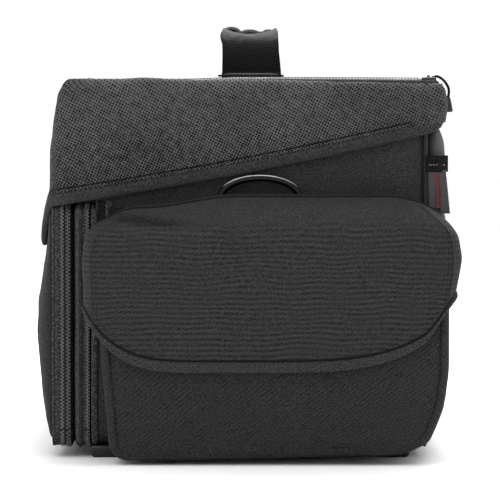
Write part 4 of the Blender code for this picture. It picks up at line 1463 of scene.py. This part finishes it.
def pocket_outline(count=40):
    """The pouch's outline in XZ from its left mouth corner down, along and up to the right one."""
    left_r = 11.0
    side_low = POCKET_LOW + left_r
    foot_x = POCKET_LEFT + 4.5
    line = []
    for k in range(count + 1):
        z = POCKET_HIGH - (POCKET_HIGH - side_low) * k / count
        line.append((POCKET_LEFT + 4.5 * ease(75, 8, z), z))
    for k in range(1, 9):
        turn = math.pi / 2 * k / 9
        line.append((foot_x + left_r * (1 - math.cos(turn)), POCKET_LOW + left_r * (1 - math.sin(turn))))
    start, stop = foot_x + left_r, 78.0
    for k in range(count + 1):
        x = start + (stop - start) * k / count
        line.append((x, POCKET_LOW + 3.0 * ease(start - 10, stop + 14, x) ** 1.2))
    # The slack lower corner: a short shelf, a blunt point, then a slanting side.
    line += [(85.0, 6.3), (90.5, 7.1), (95.5, 8.6), (100.3, 10.9), (104.2, 12.9), (106.4, 15.2),
             (108.0, 18.4), (109.9, 22.8), (112.3, 28.7), (114.2, 34.0), (115.3, 40.0)]
    for k in range(1, count + 1):
        z = 40.0 + (POCKET_HIGH - 40.0) * k / count
        line.append((POCKET_RIGHT - 2.2 + 2.2 * ease(36, 60, z), z))
    return [Vector(p) for p in line]


POCKET_LINE = resample([(p.x, p.y, 0) for p in pocket_outline()], 2.6)


def pocket_edge(z):
    """The pouch's left and right x at a height."""
    found = []
    for a, b in zip(POCKET_LINE, POCKET_LINE[1:]):
        if min(a.y, b.y) - 1e-6 <= z <= max(a.y, b.y) + 1e-6:
            run = b.y - a.y
            found.append(a.x + (b.x - a.x) * (clamp((z - a.y) / run) if abs(run) > 1e-6 else 0.5))
    return min(found), max(found)


def from_pocket_middle(spot):
    """The direction from the pouch's middle to a place on its outline."""
    return Vector((spot.x - 15, 0, spot.y - 70)).normalized()


STRIP_BOX = [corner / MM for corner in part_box("loop_strip_near")]


def pocket_front_y(x, z):
    """How the pouch's front stands out: full and low, slack under the flap, flat round its strip."""
    middle = (POCKET_LEFT + POCKET_RIGHT) / 2
    across = clamp(1 - ((x - middle) / 106.0) ** 4)
    fill = math.sin(math.pi * clamp((z - POCKET_LOW) / 128.0, 0.0, 1.0)) ** 0.6
    slack = 0.9 * ripple(x, z, 8, 44.0) + 0.45 * ripple(x * 0.7, z * 1.3, 21, 18.0)
    out = 1.6 * across * fill + slack * across * ease(0, 14, z - POCKET_LOW)
    low, high = STRIP_BOX
    out *= ease(1.0, 11.0, max(low.x - x, x - high.x, low.z - z, z - high.z))
    tuck = (z - 12.0) + (x - 45.0) * 0.32
    out -= 1.5 * bump(tuck, 0, 3.0) * bump(x, 62.0, 22.0)
    out += 1.0 * bump(tuck, 6.0, 4.0) * bump(x, 62.0, 24.0)
    return -POCKET_Y - out


def pocket_gusset(u, v):
    """The pouch's side from the body out, rounded over where it meets the front."""
    count = len(POCKET_LINE) - 1
    i = round(v * count)
    spot = POCKET_LINE[i]
    along = (POCKET_LINE[min(i + 1, count)] - POCKET_LINE[max(i - 1, 0)]).normalized()
    normal = Vector((-along.y, 0, along.x))
    if normal.dot(from_pocket_middle(spot)) < 0:
        normal = -normal
    depth, bend = POCKET_DEEP - 0.5, 4.5
    reach = u * (depth + bend * 0.6)
    y, inset = -HALF - 0.6 - reach, 0.0
    if reach >= depth - bend:
        turn = math.pi / 2 * clamp((reach - depth + bend) / (bend * 1.6))
        y = -HALF - 0.6 - (depth - bend) - bend * math.sin(turn)
        inset = bend * (1 - math.cos(turn))
    out = 0.8 * ripple(spot.x, y, spot.y, 28.0) * math.sin(math.pi * clamp(u, 0, 0.9) / 0.9) - inset
    return (spot.x + normal.x * out, y, max(POCKET_LOW - 1.6, spot.y + normal.z * out))


def pocket_front(u, v):
    """The pouch's front, drawn in to its rim at both sides and along the bottom."""
    z = POCKET_LOW + 3.0 + (POCKET_HIGH - POCKET_LOW - 3.0) * (v ** 1.4)
    left, right = pocket_edge(max(z, POCKET_LOW + 0.3))
    inset = 3.4
    x = left + inset + (right - left - 2 * inset) * u
    edge = ease(0, 0.035, u) * ease(0, 0.035, 1 - u) * ease(0, 0.05, v)
    y = -POCKET_Y + (pocket_front_y(x, z) + POCKET_Y) * edge + 0.9 * (1 - edge)
    return (x, y, z)


def build_pouch():
    """The pouch's side, front, piping, bound mouth and back, and the hook-and-loop strips."""
    side = sheet("pocket_gusset_near", pocket_gusset, 22, len(POCKET_LINE) - 1, CANVAS_SLANT, None,
                 thick=1.3, outward=0.0)
    both_ends(side, "bag", ("pocket_near",))
    face = sheet("pocket_front_near", pocket_front, 90, 60, CANVAS_SLANT, None, thick=1.2, outward=0.0)
    both_ends(face, "bag")

    rim = []
    for spot in POCKET_LINE:
        away = from_pocket_middle(spot)
        rim.append((spot.x - away.x * 3.0, -POCKET_Y + 0.5, max(spot.y - away.z * 2.4, POCKET_LOW + 0.4)))
    both_ends(tube("pocket_piping_near", rim, 0.55, HEM, None), "bag")
    root = [(p.x, -HALF - 1.2, max(p.y, POCKET_LOW + 1.0)) for p in POCKET_LINE]
    both_ends(tube("pocket_root_piping_near", root, 1.1, HEM, None), "bag")

    def mouth(u, v):
        x = POCKET_LEFT + 3 + (POCKET_RIGHT - POCKET_LEFT - 6) * u
        rise = math.sin(math.pi * v)
        return (x, -POCKET_Y + 1.3 - 1.9 * rise, POCKET_HIGH - 5.5 + 5.5 * rise)

    both_ends(sheet("pocket_mouth_binding_near", mouth, 60, 8, BINDING, None, thick=0.6), "bag")

    def inner_back(u, v):
        z = POCKET_LOW + 4.0 + 144.5 * v
        left, right = pocket_edge(min(z, POCKET_HIGH - 1.0))
        x = left + 2.5 + (right - left - 5) * u
        return (x, -HALF - 2.6 - 0.8 * abs(ripple(x, 5, z, 40)), z)

    both_ends(sheet("pocket_back_near", inner_back, 40, 24, CANVAS_SHADED, None, thick=0.8), "bag")
    for node in ("loop_strip_near", "hook_strip_near", "loop_strip_far", "hook_strip_far"):
        dress(node, HOOKS)


def dress(node, paint):
    """A CAD node whose shape is kept gets a detailed material."""
    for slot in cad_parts[node].material_slots:
        slot.material = paint


# ------------------------------------------------------------------ flaps


def flap_low(x):
    """The curved lower edge of the flap."""
    middle = -15.0
    reach = 137.0 if x > middle else 84.0
    return 55.6 + 29.0 * min(1.3, abs((x - middle) / reach)) ** 4.6 + 8.0 * ease(106, 124, x)


def flap_plan(u, depth):
    """The flap seen from above, at a share u round it: its place and its outward direction."""
    radius = min(17.0, depth * 0.8)
    width = FLAP_RIGHT - FLAP_LEFT
    ends = depth - radius
    arc = math.pi / 2 * radius
    goal = min(u, 1 - u) * (2 * ends + 2 * arc + width - 2 * radius)
    if goal < ends:
        x, y, nx, ny = 0.0, goal, -1.0, 0.0
    elif goal < ends + arc:
        turn = (goal - ends) / radius
        x, y = radius * (1 - math.cos(turn)), ends + radius * math.sin(turn)
        nx, ny = -math.cos(turn), -math.sin(turn)
    else:
        x, y, nx, ny = radius + goal - ends - arc, depth, 0.0, -1.0
    x = FLAP_LEFT + x
    if u > 0.5:
        x, nx = FLAP_LEFT + FLAP_RIGHT - x, -nx
    return x, -FLAP_ROOT_Y - y, nx, ny


def round_top_corners(x, z):
    """Rounds the flap's top corners off, like the corners of a soft loaf."""
    tall = 42.0
    start_z = FLAP_ROOT_Z + 1.2 - tall
    for edge, reach in ((FLAP_LEFT, 38.0), (FLAP_RIGHT, 46.0)):
        side = math.copysign(1.0, edge)
        start_x = edge - side * reach
        across, up = clamp(side * (x - start_x) / reach), clamp((z - start_z) / tall)
        if across > 0 and up > 0:
            x = start_x + side * reach * across * math.sqrt(1 - up * up / 2)
            z = start_z + tall * up * math.sqrt(1 - across * across / 2)
    return x, z


def flap_skin(u, height, out=0.0):
    """The flap's outer face at a share u round its plan and a height share, 1 at its root."""
    lift = max(0.0, (height - 0.62) / 0.38)
    depth = (FLAP_FRONT_Y - FLAP_ROOT_Y) * max(0.0, 1.0 - lift ** 2.5) ** 0.56 + 3.4 * lift
    x, y, nx, ny = flap_plan(u, depth)
    low = flap_low(x)
    x, z = round_top_corners(x, low + (FLAP_ROOT_Z + 1.2 - low) * height)
    slope = 6.6 * (1 - ease(-64.0, -8.0, x)) * ease(-104.0, -84.0, x) + 1.4
    z -= slope * ease(0.45, 1.0, height)
    middle = (FLAP_LEFT + FLAP_RIGHT) / 2
    x += (middle - x) * (0.03 * (1 - height) if x < middle else 0.045 * (1 - height) ** 3)
    face = ease(0.55, 0.95, -ny)
    soft = ease(0.0, 0.1, height) * (1 - ease(0.93, 1.0, height))
    out += soft * (1.1 * ripple(x, z, 3, 52.0) + 0.5 * ripple(x * 0.8, z, 33, 20.0))
    out += face * soft * 1.1 * math.sin(math.pi * clamp(height / 0.7))
    crease = z - 144.6 + 0.13 * (x + 60.0)
    out -= face * 3.4 * bump(crease, 0, 3.6) * bump(x, -58, 22)
    out += face * 1.5 * bump(crease, 6.0, 4.0) * bump(x, -58, 26)
    out += face * 0.6 * bump(crease, -8.0, 4.0) * bump(x, -58, 26)
    out -= face * 0.8 * bump(x - 97 + (z - 120) * 0.25, 0, 3.0) * ease(84, 100, z) * (1 - ease(128, 144, z))
    out -= (1 - face) * 0.8 * bump(height, 0.55, 0.12)
    return (x + nx * out, y + ny * out, z)


FLAP_HEM_SHARE = FLAP_HEM / (FLAP_ROOT_Z - 53.0)
FLAP_SEAMS = (0.132, 0.868)


def flap_hem(u, v):
    """The folded tape over the flap's edge."""
    side, rise = math.cos(TAU * v), math.sin(TAU * v)
    height = FLAP_HEM_SHARE * (0.47 + 0.53 * math.copysign(abs(rise) ** 0.8, rise))
    out = -0.55 + 1.55 * math.copysign(abs(side) ** 0.7, side)
    out -= 0.4 * bump(rise, 0.5, 0.16) * (side > 0)
    return flap_skin(0.003 + 0.994 * u, height, out)


def flap_course(start, height, out, count):
    """A line round the flap at one height share, the same way in from both of its ends."""
    return [flap_skin(start + (1 - 2 * start) * k / count, height, out) for k in range(count + 1)]


def build_flap():
    """The flap's cloth, its lining and the folded tape over its edge."""
    def cloth(u, v):
        return flap_skin(u, FLAP_HEM_SHARE * 0.7 + v * (1 - FLAP_HEM_SHARE * 0.7))

    def lining(u, v):
        return flap_skin(0.012 + u * 0.976, 0.03 + v * 0.93, -2.4)

    skin = sheet("flap_cloth_near", cloth, 170, 90, CANVAS_RIBBED, None, thick=1.5)
    both_ends(skin, "near_flap", ("flap_near",))
    both_ends(sheet("flap_lining_near", lining, 90, 40, CANVAS_SHADED, None, thick=0.5), "near_flap")
    edge = sheet("flap_hem_tape_near", flap_hem, 170, 16, HEM, None, weld=True)
    both_ends(edge, "near_flap", ("flap_hem_near",))


def build_flap_seams():
    """A near-black cord as painted shade in the groove over the flap's hem, the seams of its side pieces and
    the piping along its root.
    """
    groove = flap_course(0.005, FLAP_HEM_SHARE * 1.06, 0.15, 200)
    both_ends(tube("flap_hem_groove_near", groove, 0.62, GROOVE_SHADE, None, sides=6), "near_flap")
    for side, share, paint in zip(("left", "right"), FLAP_SEAMS, (HEM, THREAD)):
        line = [flap_skin(share, 0.03 + 0.93 * k / 60, 0.05) for k in range(61)]
        both_ends(tube(f"flap_seam_{side}_near", line, 0.5, paint, None, sides=7), "near_flap")
    root = flap_course(0.004, 0.985, -0.2, 90)
    both_ends(tube("flap_root_piping_near", root, 1.0, CANVAS_SHADED, None), "near_flap")
    hem = flap_course(0.01, FLAP_HEM_SHARE * 0.66, 1.2, 200)
    beside = [[flap_skin(share, 0.06 + 0.86 * k / 60, 0.1) for k in range(61)]
              for share in (FLAP_SEAMS[0] + 0.011, FLAP_SEAMS[1] - 0.011)]
    for mirror, body in ((1, "near_flap"), (-1, "far_flap")):
        stitch(body, [(x, y * mirror, z) for x, y, z in hem], 3.0, 2.0, 0.3, THREAD_PALE)
        for line in beside:
            stitch(body, [(x, y * mirror, z) for x, y, z in line], 3.0, 2.0, 0.2)


# ------------------------------------------------------------------ D-rings and their tabs


def build_ring():
    """The D-ring: a straight bar, rounded lower corners and a bow."""
    low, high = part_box("d_ring_near")
    low, high = low / MM, high / MM
    half = (high.x - low.x) / 2 - 0.9
    bar, shoulder, top = low.z + 2.0, 157.0, high.z - 4.8
    y = (low.y + high.y) / 2
    corner = 5.0
    straight = half - corner
    turns = [math.pi / 2 * k / 5 for k in range(1, 6)]
    line = [(RING_X - straight + 2 * straight * k / 12, y, bar) for k in range(13)]
    line += [(RING_X + straight + corner * math.sin(t), y, bar + corner * (1 - math.cos(t))) for t in turns]
    for k in range(33):
        turn = math.pi * k / 32
        line.append((RING_X + half * math.cos(turn), y, shoulder + (top - shoulder) * math.sin(turn) ** 0.92))
    line += [(RING_X - half + corner * (1 - math.cos(t)), y, bar + corner * (1 - math.sin(t))) for t in turns]
    ring = tube("ring_wire_near", resample(line + line[:1], 1.6)[:-1], RING_WIRE, RING_PAINTED_HIGHLIGHT, None,
                sides=16, closed=True)
    both_ends(ring, "near_ring", ("d_ring_near",))
    return y, bar


def build_ring_tab(y, bar):
    """Webbing folded round the ring's bar, with both ends down behind the pouch."""
    down, bend = 12.0, math.pi * RING_TAB_BEND

    def tab(u, v):
        x = RING_X + (u - 0.5) * 38.0
        goal = v * (2 * down + bend)
        if goal < down:
            return (x, y - RING_TAB_BEND, bar - down + goal)
        if goal < down + bend:
            turn = (goal - down) / RING_TAB_BEND
            return (x, y - RING_TAB_BEND * math.cos(turn), bar + RING_TAB_BEND * math.sin(turn))
        return (x, y + RING_TAB_BEND, bar - (goal - down - bend))

    folded = sheet("ring_tab_webbing_near", tab, 12, 34, WEBBING, None, thick=1.3)
    both_ends(folded, "bag", ("d_ring_tab_near",))


# ------------------------------------------------------------------ back, feet and inside


def build_back_band():
    """Webbing from the near end round the back pad to the far end, sewn down at the near end."""
    half_line = [(-1.0, HALF + 1.6), (8.0, HALF + 2.4), (12.2, HALF - 1.0), (12.6, HALF - 8.0)]
    near = [(BACK_X + out, -y) for out, y in half_line]
    far = [(BACK_X + out, y) for out, y in reversed(half_line)]
    around, _ = along_line([*near, (BACK_X + 12.2, 0.0), *far])

    def webbing(u, v):
        x, y = around(v)
        return (x, y, 173.4 + 9.8 * u)

    sheet("back_band", webbing, 8, 260, WEBBING, "bag", ("back_webbing",), thick=1.4, outward=0.0)
    for z in (174.8, 181.6):
        stitch("bag", [(BACK_X + 0.2, -HALF - 2.6, z), (BACK_X + 7.5, -HALF - 3.3, z)], 2.6, 2.0, 0.26)
    pale = [(BACK_X + 1.0, -HALF - 3.2, 177.6), (BACK_X + 11.0, -HALF - 2.4, 177.6)]
    stitch("bag", pale, 2.2, 1.7, 0.34, TAPE_LIGHT)


def build_label():
    """A plain cloth label with two stitched stripes."""
    def label(u, v):
        widen = 1 - v
        x = BACK_X + 0.6 + 0.6 * widen + (10.6 + 2.2 * widen) * u + 0.12 * (v - 0.5)
        return (x, -HALF - 1.4 - 0.5 * math.sin(math.pi * v) - 0.2 * math.sin(math.pi * u), 148.2 + 26.4 * v)

    sheet("side_label_cloth", label, 10, 20, LABEL, "bag", ("side_label",),
          thick=0.7, outward=1.0)
    edge = [label(u, v) for u, v in ((0.08, 0.05), (0.92, 0.05), (0.92, 0.95), (0.08, 0.95), (0.08, 0.05))]
    stitch_box("bag", [(x, y - 0.75, z) for x, y, z in edge], 1.9, 1.4, 0.2)
    for share in (0.40, 0.60):
        stripe = [label(share, 0.1 + 0.8 * k / 12) for k in range(13)]
        stitch("bag", [(x, y - 0.8, z) for x, y, z in stripe], 2.2, 2.0, 0.55, THREAD_RED)


PAD_LOW = (107.8, -156.5, 17.0)
PAD_HIGH = (116.2, 156.5, 203.5)
PAD_CHANNELS = (58, 105, 152)


def pad_block():
    """The back pad's block in even small faces, ready to be swollen."""
    work = bmesh.new()
    bmesh.ops.create_cube(work, size=1.0)
    for vert in work.verts:
        spot = [low + (high - low) * (share + 0.5) for low, high, share in zip(PAD_LOW, PAD_HIGH, vert.co)]
        vert.co = Vector(spot) * MM
    bmesh.ops.bevel(work, geom=work.edges[:], offset=2.6 * MM, segments=2, affect="EDGES")
    mesh = bpy.data.meshes.new("back_pad_cloth")
    work.to_mesh(mesh)
    work.free()
    pad = new_object("back_pad_cloth", mesh)
    remesh = pad.modifiers.new("remesh", "REMESH")
    remesh.mode = "VOXEL"
    remesh.voxel_size = 4.2 * MM
    bake(pad)
    return pad


def build_back_pad():
    """The padded back: a stuffed block, simulated as a pillow, with three sewn channels."""
    pad = pad_block()
    inflate(pad, pressure=3.0, cap=3.2, frames=12)
    for vert in pad.data.vertices:
        p = vert.co / MM
        outside = p.x > 112
        if outside:
            vert.co.x -= 2.4 * max(bump(p.z, centre, 3.0) for centre in PAD_CHANNELS) * MM
        edge = 1 - ease(0, 12, min(p.z - 17, 203 - p.z, 157 - abs(p.y)))
        vert.co.x = max(vert.co.x - 0.8 * edge * MM * outside, 107.4 * MM)
    smoother = pad.modifiers.new("subdivision", "SUBSURF")
    smoother.levels = 1
    smoother.render_levels = 1
    bake(pad)
    layer = pad.data.uv_layers.new(name="cloth")
    for face in pad.data.polygons:
        for corner in face.loop_indices:
            spot = pad.data.vertices[pad.data.loops[corner].vertex_index].co / MM
            layer.data[corner].uv = (spot.y, spot.z)
    pad.data.shade_smooth()
    register(pad, FOAM, "bag", ("back_pad",))
    for centre in PAD_CHANNELS:
        stitch("bag", [(113.2, -150 + 300 * k / 60, centre) for k in range(61)], 3.4, 2.5, 0.35, THREAD_PALE)


def inflate(obj, pressure, cap, frames):
    """Swells a closed cloth by air pressure with no gravity, and caps how far each point moves."""
    before = [vert.co.copy() for vert in obj.data.vertices]
    cloth = obj.modifiers.new("cloth", "CLOTH")
    cloth.settings.use_pressure = True
    cloth.settings.uniform_pressure_force = pressure
    cloth.settings.effector_weights.gravity = 0.0
    cloth.settings.quality = 4
    cloth.point_cache.frame_start = 1
    cloth.point_cache.frame_end = frames
    scene = bpy.context.scene
    for step in range(1, frames + 1):
        scene.frame_set(step)
    bake(obj)
    scene.frame_set(1)
    for vert, home in zip(obj.data.vertices, before):
        move = vert.co - home
        if move.length > cap * MM:
            vert.co = home + move.normalized() * cap * MM


def build_feet():
    """Rubber feet, each set in a little along the bag and run out to the end panel's face."""
    for name in ("front_near", "front_far", "back_near", "back_far"):
        node = f"foot_{name}"
        low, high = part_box(node)
        low, high = low / MM, high / MM
        centre = (low + high) / 2

        def shape(p, centre=centre, low=low, high=high):
            share = clamp((p.z - low.z) / (high.z - low.z))
            grow = 0.90 + 0.10 * ease(0.0, 0.7, share)
            return (centre.x + (p.x - centre.x) * grow, centre.y + (p.y - centre.y) * grow, p.z)

        left, right = (low.x + 3.5, high.x) if low.x < 0 else (low.x, high.x - 6.0)
        start, stop = (-HALF - 1.5, high.y) if low.y < 0 else (low.y, HALF + 1.5)
        block(f"{node}_rubber", (left, start, 0.02), (right, stop, high.z + 0.8), 1.9, PLASTIC, "bag",
              (node,), 4, shape)


def build_lining():
    """The main compartment's lining: front, back, both ends and floor."""
    step, _ = along_line([(-60.0, 16), (-60.6, 80), (-60.0, 156), (-64, 159.0), (-110, 159.4), (-113.2, 163),
                          (-113.2, 226)])

    def front(u, v):
        """The front wall, the step over the front compartment and the brow."""
        x, z = step(v)
        y = (2 * u - 1) * LINING_HALF
        return (x + 0.7 * ripple(y, v * 90, 3, 40), y, z + 0.5 * ripple(y, v * 60, 30, 30))

    def back(u, v):
        y = (2 * u - 1) * LINING_HALF
        return (LINING_BACK - 0.1 + 0.6 * ripple(9, y, v * 200, 45), y, LINING_LOW + 210 * v)

    sheet("lining_front", front, 50, 60, LINING, "bag", ("inner_lining",), thick=0.6)
    sheet("lining_back", back, 50, 34, LINING, "bag", thick=0.6)
    for side, end in ((-1, "near"), (1, "far")):
        def low_wall(u, v, side=side):
            bulge = 0.6 * ripple(u * 160, side, v * 140, 40)
            return (LINING_FRONT + LINING_LONG * u, side * (LINING_HALF + bulge), LINING_LOW + 143.5 * v)

        def high_wall(u, v, side=side):
            bulge = 0.6 * ripple(u * 215, side, 150 + v * 70, 40)
            return (-113 + 215.5 * u, side * (LINING_HALF + bulge), LINING_STEP + 67 * v)

        sheet(f"lining_{end}_low", low_wall, 30, 26, LINING, "bag", thick=0.6)
        sheet(f"lining_{end}_high", high_wall, 40, 14, LINING, "bag", thick=0.6)

    def floor(u, v):
        x, y = LINING_FRONT + LINING_LONG * u, (2 * v - 1) * LINING_HALF
        return (x, y, 14.8 + 0.5 * ripple(x, y, 2, 50))

    sheet("lining_floor", floor, 24, 44, LINING, "bag", thick=0.6)
    dress("base_board", BOARD)
    ribbon("opening_binding", opening_line(-0.5, -3.0, OPEN_FRONT + 1), 5.0, 1.0, BINDING, "bag")


# ------------------------------------------------------------------ stage


def build_stage():
    """The white floor and world, three lights, and the camera that matches the photograph."""
    scene = bpy.context.scene
    world = bpy.data.worlds.new("studio")
    scene.world = world
    world.use_nodes = True
    background = world.node_tree.nodes["Background"]
    background.inputs["Color"].default_value = (1.0, 1.0, 1.0, 1.0)
    background.inputs["Strength"].default_value = 1.05

    bpy.ops.mesh.primitive_plane_add(size=14.0, location=(0, 4.0, 0))
    floor = bpy.context.object
    floor.name = "studio_floor"
    floor.data.materials.append(floor_paint())

    def light(name, place, aim, size, power, depth=0.0):
        data = bpy.data.lights.new(name, "AREA")
        data.size = size
        if depth:
            data.shape = "RECTANGLE"
            data.size_y = depth
        data.energy = power
        obj = bpy.data.objects.new(name, data)
        scene.collection.objects.link(obj)
        obj.location = place
        obj.rotation_euler = (Vector(aim) - Vector(place)).to_track_quat("-Z", "Y").to_euler()

    light("key_light", (-0.9, -1.5, 1.7), (0, 0, 0.12), 1.2, 6.0)
    light("top_light", (0.2, 1.2, 1.6), (0, 0, 0.1), 1.6, 45.0)
    light("strip_light", (0.0, -0.27, 0.95), (0, -0.17, 0.1), 1.2, 2.4, 0.03)

    camera = bpy.data.cameras.new("camera")
    camera.lens = 219.0
    camera.sensor_width = 36.0
    camera.clip_end = 60.0
    eye = bpy.data.objects.new("camera", camera)
    scene.collection.objects.link(eye)
    distance, elevation, aim_z = 2.0, math.radians(2.2), 0.120  # worked out from the photograph
    eye.location = (0.0, -distance * math.cos(elevation), aim_z + distance * math.sin(elevation))
    eye.rotation_euler = (math.pi / 2 - elevation, 0.0, 0.0)
    scene.camera = eye
    scene.view_settings.view_transform = "Standard"
    scene.view_settings.look = "None"


build_stage()
build_body()
build_inner_front()
build_hood()
build_lid()
build_main_zip()
build_lid_hinge()
build_handle_legs()
build_grip()
build_handle_patches()
build_slider()
build_pull()
build_expansion_zip()
build_divider()
build_front_zip()
build_panel_seams()
build_cover()
build_expander()
build_front_sliders()
build_pouch()
build_flap()
build_flap_seams()
build_ring_tab(*build_ring())
build_back_band()
build_label()
build_back_pad()
build_feet()
build_lining()
sew_threads()
